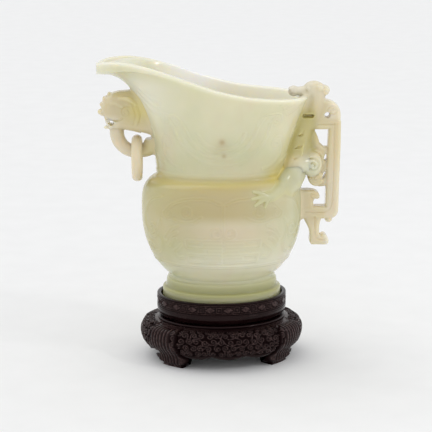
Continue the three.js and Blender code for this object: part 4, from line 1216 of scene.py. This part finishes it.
def carved_run(name, offset, z, angle, height, closed, shade=0.0):
    """Sections of (offset, z) loops at angles of the oval, carved by a height along their normals."""
    along_offset = np.roll(offset, -1, axis=1) - np.roll(offset, 1, axis=1)
    along_z = np.roll(z, -1, axis=1) - np.roll(z, 1, axis=1)
    length = np.maximum(np.hypot(along_offset, along_z), 1e-6)
    offset = offset - height * along_z / length
    z = z + height * along_offset / length
    swell = SIDE_SWELL * smoothstep(RAIL_OUTER, RAIL_OUTER + APRON_BULGE, offset)
    x = (FOOT_HALF_LENGTH + offset + swell) * np.cos(angle)
    y = (FOOT_HALF_DEPTH + offset) * np.sin(angle)
    points = np.stack([x, y, z], axis=-1).reshape(-1, 3)
    sections, loop = offset.shape
    faces = grid_faces(sections, loop, wrap_rows=closed)
    if not closed:
        faces.append(list(range(loop))[::-1])
        faces.append([(sections - 1) * loop + j for j in range(loop)])
    flat = height.reshape(-1)
    shade = np.broadcast_to(shade, height.shape).reshape(-1)
    # Painted shade in the sunk carving and under the bead, and lighter raised lands from rubbed wear and a
    # painted highlight, left out where shaded
    hollow = np.maximum(smoothstep(-0.15, -0.75, flat), shade)
    ridge = 0.8 * smoothstep(-0.2, 0.0, flat) * (flat != 0) * (1 - shade)
    stand_piece(name, points, faces, {"hollow": hollow, "ridge": ridge})


def ring_piece(name, profile, carve=None):
    """A ring round the oval with one profile. Carve takes angles, offsets and heights."""
    angle = (2 * math.pi * np.arange(RING_SECTIONS) / RING_SECTIONS)[:, None] + np.zeros(len(profile))
    offset = np.broadcast_to(profile[:, 0], angle.shape)
    z = np.broadcast_to(profile[:, 1], angle.shape)
    height = np.zeros(angle.shape) if carve is None else carve(angle, offset, z)
    carved_run(name, offset, z, angle, height, True)


def rail_carving(angle, offset, z):
    """Lozenges between squared frets with lines 1 mm apart, in a field sunk between two plain borders."""
    outside = offset > RAIL_OUTER - 0.01
    quarter = oval_length(math.pi / 2, RAIL_OUTER)
    along = (oval_length(angle, RAIL_OUTER) - quarter) % (2 * quarter)
    along = np.minimum(along, 2 * quarter - along)
    cell = (along + LOZENGE_PITCH / 2) % LOZENGE_PITCH - LOZENGE_PITCH / 2
    up = z - (WAIST_TOP + 0.5 * RAIL_HEIGHT)
    lozenge = np.abs(cell) / LOZENGE_HALF_LENGTH + np.abs(up) / LOZENGE_HALF_HEIGHT
    square = np.maximum(np.abs(np.abs(cell) - LOZENGE_PITCH / 2), np.abs(up))
    line = np.where(square < FRET_HALF, np.abs(square - np.round(square)), np.abs(up - np.round(up)))
    cut = 0.06 + 0.94 * (1 - smoothstep(0.14, 0.36, line))
    cut = np.where(lozenge < 1.25, 0.02 + 0.98 * smoothstep(0.95, 1.1, lozenge), cut)
    field = 1 - smoothstep(2.75, 2.9, np.abs(up))
    border = 1 - smoothstep(0.1, 0.3, np.abs(np.abs(up) - BORDER_HEIGHT))
    return np.where(outside, -FRET_DEPTH * np.maximum(cut * field, border), 0)


def stand_rings():
    edge = [(0.6, 0.0), (0.17, 0.17), (0.0, 0.6)]
    outer_edge = [(RAIL_OUTER - across, RAIL_TOP - down) for across, down in edge]
    inner_edge = [(FOOT_CLEARANCE + across, RAIL_TOP - down) for across, down in edge[::-1]]
    rail = np.vstack([
        subdivided(outer_edge, 0.5),
        subdivided([outer_edge[-1], (RAIL_OUTER, WAIST_TOP)], 0.16),
        subdivided([(RAIL_OUTER, WAIST_TOP), (FOOT_CLEARANCE, WAIST_TOP), *inner_edge, outer_edge[0]], 2.0),
    ])
    ring_piece("rail", rail, rail_carving)
    share = np.linspace(0, 1, 16)[:, None]
    top = np.array([RAIL_OUTER, WAIST_TOP])
    bend = np.array([RAIL_OUTER, BEAD_TOP + 1.8])
    low = np.array([RAIL_OUTER - 3.2, BEAD_TOP])
    cove = (1 - share) ** 2 * top + 2 * share * (1 - share) * bend + share ** 2 * low
    ring_piece("waist", np.vstack([cove, [(-STAND_LEDGE, BEAD_TOP), (-STAND_LEDGE, WAIST_TOP)]]))
    radius = BEAD_HEIGHT / 2
    nose = arc((RAIL_OUTER - BEAD_INSET - radius, APRON_TOP + radius), radius, 90, -90, 12)
    ring_piece("bead", np.array(nose + [(-STAND_LEDGE, APRON_TOP), (-STAND_LEDGE, BEAD_TOP)]))


def seat_panel():
    sides = 160
    angle = 2 * math.pi * np.arange(sides) / sides
    grow = FOOT_CLEARANCE - JOINT_GAP
    heights = (WAIST_TOP, RAIL_TOP - RECESS_DEPTH)
    rows = [oval(FOOT_HALF_LENGTH + grow, FOOT_HALF_DEPTH + grow, z, angle) for z in heights]
    points = np.vstack([*rows, [(0, 0, z) for z in heights]])
    faces = grid_faces(2, sides) + fan(0, sides, 2 * sides, True) + fan(sides, sides, 2 * sides + 1, False)
    stand_piece("seat_panel", points, faces, {"hollow": 0, "ridge": 0})


FACE_STEPS = 18
FLUTE_PITCH = 2.1
FLUTE_DEPTH = 0.42
FLUTED_HALF = 6.6
APRON_STEP = 0.36
APRON_CUT = 1.1
LEG_CUT = 0.9
LEAST_CUT = 0.02
STROKE_REACH = 1.5
MIDDLE_OFFSET = 9
LEG_SECTIONS = 60
LEG_SCROLL_EDGE = 11
LOWER_EDGE = APRON_EDGE + 1.8
BACK_EDGE = APRON_EDGE - APRON_WALL
BACK_AND_TOP = [(BACK_EDGE + 2.2, APRON_TOP - 8), (-STAND_LEDGE, APRON_TOP)]


def swelling_face(proud, lower):
    """The front of an apron or leg from the bead down to its lower edge, as (offset, z) points."""
    swell = [(RAIL_OUTER + bulge * APRON_BULGE + proud, APRON_TOP - down * (APRON_TOP - lower))
             for bulge, down in ((0.72, 0.09), (1.0, 0.38), (0.90, 0.72))]
    path = [(RAIL_OUTER - BEAD_INSET, APRON_TOP), *swell, (LOWER_EDGE + proud, lower)]
    return smooth_path(path, FACE_STEPS)


def scroll_strokes(low, high, seed):
    """Crowded curls with stems between them, over a band of the swelling face."""
    rng = np.random.default_rng(seed)
    strokes = []
    count = max(1, round((high - low) / 4.4))
    pitch = (high - low) / count
    for row, down in enumerate((3.8, 7.8, 11.8, 15.8, 19.8)):
        for i in range(count + row % 2):
            u = low + pitch * (i + 0.5 - 0.5 * (row % 2)) + rng.uniform(-0.5, 0.5)
            v = down + rng.uniform(-0.5, 0.5)
            start = rng.uniform(0, 360)
            way = 1 if (i + row) % 2 else -1
            curl = spiral((u, v), 1.9, 0.4, start, 1.3 * way)
            bearing = math.radians(start - 50 * way)
            stem = np.array([u, v]) + 3.6 * np.array([math.cos(bearing), math.sin(bearing)])
            bend = (stem + curl[0]) / 2 + rng.uniform(-0.4, 0.4, 2)
            strokes.append(np.vstack([smooth_path([stem, bend, curl[0]], 4), curl[1:]]))
    return strokes


def face_lengths(offset, z):
    """Length down each section's front from its top."""
    step = np.hypot(np.diff(offset, axis=1), np.diff(z, axis=1))
    return np.concatenate([np.zeros((len(offset), 1)), np.cumsum(step, axis=1)], axis=1)


def carved_front(name, offset, z, angle, carved, down):
    """An apron or leg, carved on the front of its loops and shaded under the bead on its long sides."""
    front = carved.shape[1]
    height = np.zeros(offset.shape)
    height[:, :front - 1] = carved[:, :-1]
    shade = np.zeros(offset.shape)
    shade[:, :front] = 0.9 * smoothstep(6.0, 2.0, down) * np.sin(angle[:, :front]) ** 2
    carved_run(name, offset, z, angle, height, False, shade)


def apron(name, middle, half_angle, seed):
    width = oval_length(middle + half_angle, MIDDLE_OFFSET) - oval_length(middle - half_angle, MIDDLE_OFFSET)
    u = np.linspace(-1, 1, max(24, round(width / APRON_STEP)))
    loops = []
    for share in u:
        lower = LEG_CLEAR_HEIGHT + 0.8 + 1.6 * (1 - abs(math.sin(1.5 * math.pi * (share + 1))))
        lower += smoothstep(0.72, 0.9, abs(share)) * abs(math.cos(middle))
        face = swelling_face(0, lower)
        loops.append(np.vstack([face, (BACK_EDGE, lower), BACK_AND_TOP]))
    offset, z = np.moveaxis(loops, 2, 0)
    angle = (middle + half_angle * u)[:, None] + np.zeros(offset.shape)
    front = len(face)
    down = face_lengths(offset[:, :front], z[:, :front])
    along = oval_length(angle[:, :front], MIDDLE_OFFSET) - oval_length(middle, MIDDLE_OFFSET)
    near = stroke_distance(along, down, scroll_strokes(-width / 2, width / 2, seed), STROKE_REACH)
    to_end = down[:, -1:] - down
    field = smoothstep(1.6, 2.0, to_end)
    cut = LEAST_CUT + APRON_CUT * smoothstep(0.2, 0.6, near) * smoothstep(1.8, 2.4, down) * field
    edge_line = 0.4 * (1 - smoothstep(0.15, 0.4, np.abs(to_end - 1.7)))
    carved_front(name, offset, z, angle, -np.maximum(cut * field, edge_line), down)


# Heights of a leg and its width there, as shares of the leg's own: towards the long and the short apron
LONG_SIDE_SPREAD = [
    (0, 0.98), (1.2, 1.04), (2.6, 1.18), (4.2, 1.36), (5.4, 1.42), (6.2, 1.38), (7.2, 1.08), (8.4, 1.0),
    (APRON_TOP, 1.0),
]
SHORT_SIDE_SPREAD = [
    (0, 0.46), (1.2, 0.48), (2.6, 0.56), (4.2, 0.78), (5.2, 0.98), (5.6, 0.96), (6.1, 0.58), (6.8, 0.44),
    (8.8, 0.44), (9.8, 0.90), (10.8, 1.0), (APRON_TOP, 1.0),
]


def leg(name, middle, half_angle, long_side):
    """A leg that swells with the apron and flares to a scrolled foot, wider towards the long apron."""
    u = np.linspace(-1, 1, LEG_SECTIONS)[:, None]
    toe = RAIL_OUTER + 1.8 + LEG_PROUD
    face = swelling_face(LEG_PROUD, LEG_CLEAR_HEIGHT + 1.6)
    ankle = [(LOWER_EDGE, 6.6), (LOWER_EDGE - 0.4, 4.8), (toe + 1.8, 2.6), (toe + 0.5, 1.1), (toe + 0.4, 0)]
    shin = smooth_path([face[-1], *ankle], 6)[1:]
    shin[:, 1] = np.maximum(shin[:, 1], 0)
    loop = np.vstack([face, shin, (toe - LEG_TOE_DEPTH, 0), (BACK_EDGE, LEG_CLEAR_HEIGHT), BACK_AND_TOP])
    front = len(face) + len(shin)
    offset = np.broadcast_to(loop[:, 0], (LEG_SECTIONS, len(loop)))
    z = np.broadcast_to(loop[:, 1], offset.shape)
    wide, narrow = [np.interp(z, *np.transpose(side)) for side in (LONG_SIDE_SPREAD, SHORT_SIDE_SPREAD)]
    share = u * np.where(u * long_side > 0, wide, narrow)
    angle = middle + half_angle * share
    across = LEG_WIDTH / 2 * share[:, :front]
    down = face_lengths(offset[:, :front], z[:, :front])
    to_flute = np.abs(across / FLUTE_PITCH - np.round(across / FLUTE_PITCH)) * FLUTE_PITCH
    ends = smoothstep(3.0, 4.5, down) * smoothstep(0.6, 1.6, down[:, -1:] - down)
    flutes = LEAST_CUT + FLUTE_DEPTH * (1 - smoothstep(0.15, 0.7, to_flute)) * ends
    strokes = scroll_strokes(-LEG_SCROLL_EDGE, -FLUTED_HALF, 31)
    strokes += scroll_strokes(FLUTED_HALF, LEG_SCROLL_EDGE, 32)
    near = stroke_distance(across, down, strokes, STROKE_REACH)
    scrolls = LEAST_CUT + LEG_CUT * smoothstep(0.25, 0.8, near) * between(down, 2.0, 3.0, 20, 23)
    rounding = 1.1 * smoothstep(0.8, 1.0, np.abs(u)) ** 2 * smoothstep(0.5, 2.0, down)
    fluted = np.abs(across) < FLUTED_HALF + 0.25 * np.maximum(down - 14, 0)
    carved_front(name, offset, z, angle, -np.where(fluted, flutes, scrolls) - rounding, down)


def carved_stand():
    stand_rings()
    seat_panel()
    per_radian = math.hypot((FOOT_HALF_LENGTH + APRON_EDGE) * math.sin(LEG_ANGLE),
                            (FOOT_HALF_DEPTH + APRON_EDGE) * math.cos(LEG_ANGLE))
    leg_half = LEG_WIDTH / 2 / per_radian
    gap = JOINT_GAP / per_radian
    long_span = math.pi / 2 - LEG_ANGLE - leg_half - gap
    short_span = LEG_ANGLE - leg_half - gap
    apron("apron_right", 0.0, short_span, 11)
    apron("apron_back", math.pi / 2, long_span, 12)
    apron("apron_left", math.pi, short_span, 13)
    apron("apron_front", -math.pi / 2, long_span, 14)
    leg("leg_back_right", LEG_ANGLE, leg_half, 1)
    leg("leg_back_left", math.pi - LEG_ANGLE, leg_half, -1)
    leg("leg_front_left", math.pi + LEG_ANGLE, leg_half, 1)
    leg("leg_front_right", -LEG_ANGLE, leg_half, -1)


carvings = [beast_and_loop()]
loose_ring()
carvings.append(dragon_handle())
carvings.append(dragon_leg("jade_leg_near", -1, "dragon_near_leg"))
carvings.append(dragon_leg("jade_leg_far", 1, "dragon_far_leg"))
vessel_body(carvings)
carved_stand()


# Floor, lights and camera, in metres

FLOOR_HALF = 8.0
FLOOR_PALE = (0.86, 0.865, 0.87, 1)
FLOOR_PALEST = (0.88, 0.885, 0.89, 1)
SKY_COLOUR = (1.0, 1.0, 1.0, 1)
SKY_STRENGTH = 0.88
KEY_STRENGTH = 0.45
KEY_WIDTH = math.radians(50)
KEY_WAY = Vector((0.5, -0.25, -1.0))
SOFTBOX_PLACE = Vector((0.82, -0.53, 0.78))
SOFTBOX_AIM = Vector((0, 0, 0.09))
SOFTBOX_SIZE = (0.08, 0.15)
SOFTBOX_POWER = 1.2
CAMERA_TURN = math.radians(-1.5)
CAMERA_RISE = math.radians(12.7)
CAMERA_DISTANCE = 0.95
CAMERA_AIM = Vector((AXIS_X * MM, 0, 0.086))


def linked(name, data):
    item = bpy.data.objects.new(name, data)
    bpy.context.collection.objects.link(item)
    return item


def turn_towards(item, way):
    item.rotation_euler = way.to_track_quat("-Z", "Y").to_euler()


def stage_floor():
    table = Surface("pale_table")
    fleck = table.spread(table.noise(40, 3), 0.3, 0.7)
    colour = table.mixed(fleck, FLOOR_PALE, FLOOR_PALEST)
    corners = [(x * FLOOR_HALF, y * FLOOR_HALF, 0) for x, y in ((-1, -1), (1, -1), (1, 1), (-1, 1))]
    mesh = bpy.data.meshes.new("floor")
    mesh.from_pydata(corners, [], [[0, 1, 2, 3]])
    mesh.materials.append(table.finish({"Base Color": colour, "Roughness": 0.9, "Specular IOR Level": 0.1}))
    floor = linked("floor", mesh)


def studio():
    """Even white light all round, a soft key from the upper left and a small softbox at the right."""
    world = bpy.data.worlds.new("studio")
    world.use_nodes = True
    background = world.node_tree.nodes["Background"]
    background.inputs["Color"].default_value = SKY_COLOUR
    background.inputs["Strength"].default_value = SKY_STRENGTH
    bpy.context.scene.world = world
    key = bpy.data.lights.new("key", "SUN")
    key.energy = KEY_STRENGTH
    key.angle = KEY_WIDTH
    turn_towards(linked("key", key), KEY_WAY)
    light = bpy.data.lights.new("right_front", "AREA")
    light.shape = "RECTANGLE"
    light.size, light.size_y = SOFTBOX_SIZE
    light.energy = SOFTBOX_POWER
    softbox = linked("right_front", light)
    softbox.location = SOFTBOX_PLACE
    turn_towards(softbox, SOFTBOX_AIM - SOFTBOX_PLACE)


def photo_camera():
    level = math.cos(CAMERA_RISE)
    away = Vector((math.sin(CAMERA_TURN) * level, -math.cos(CAMERA_TURN) * level, math.sin(CAMERA_RISE)))
    data = bpy.data.cameras.new("camera")
    data.sensor_width = 36
    data.lens = 131.9
    data.shift_x = -0.013
    camera = linked("camera", data)
    camera.location = CAMERA_AIM + CAMERA_DISTANCE * away
    turn_towards(camera, -away)
    bpy.context.scene.camera = camera


stage_floor()
studio()
photo_camera()
bpy.context.scene.view_settings.view_transform = "Standard"
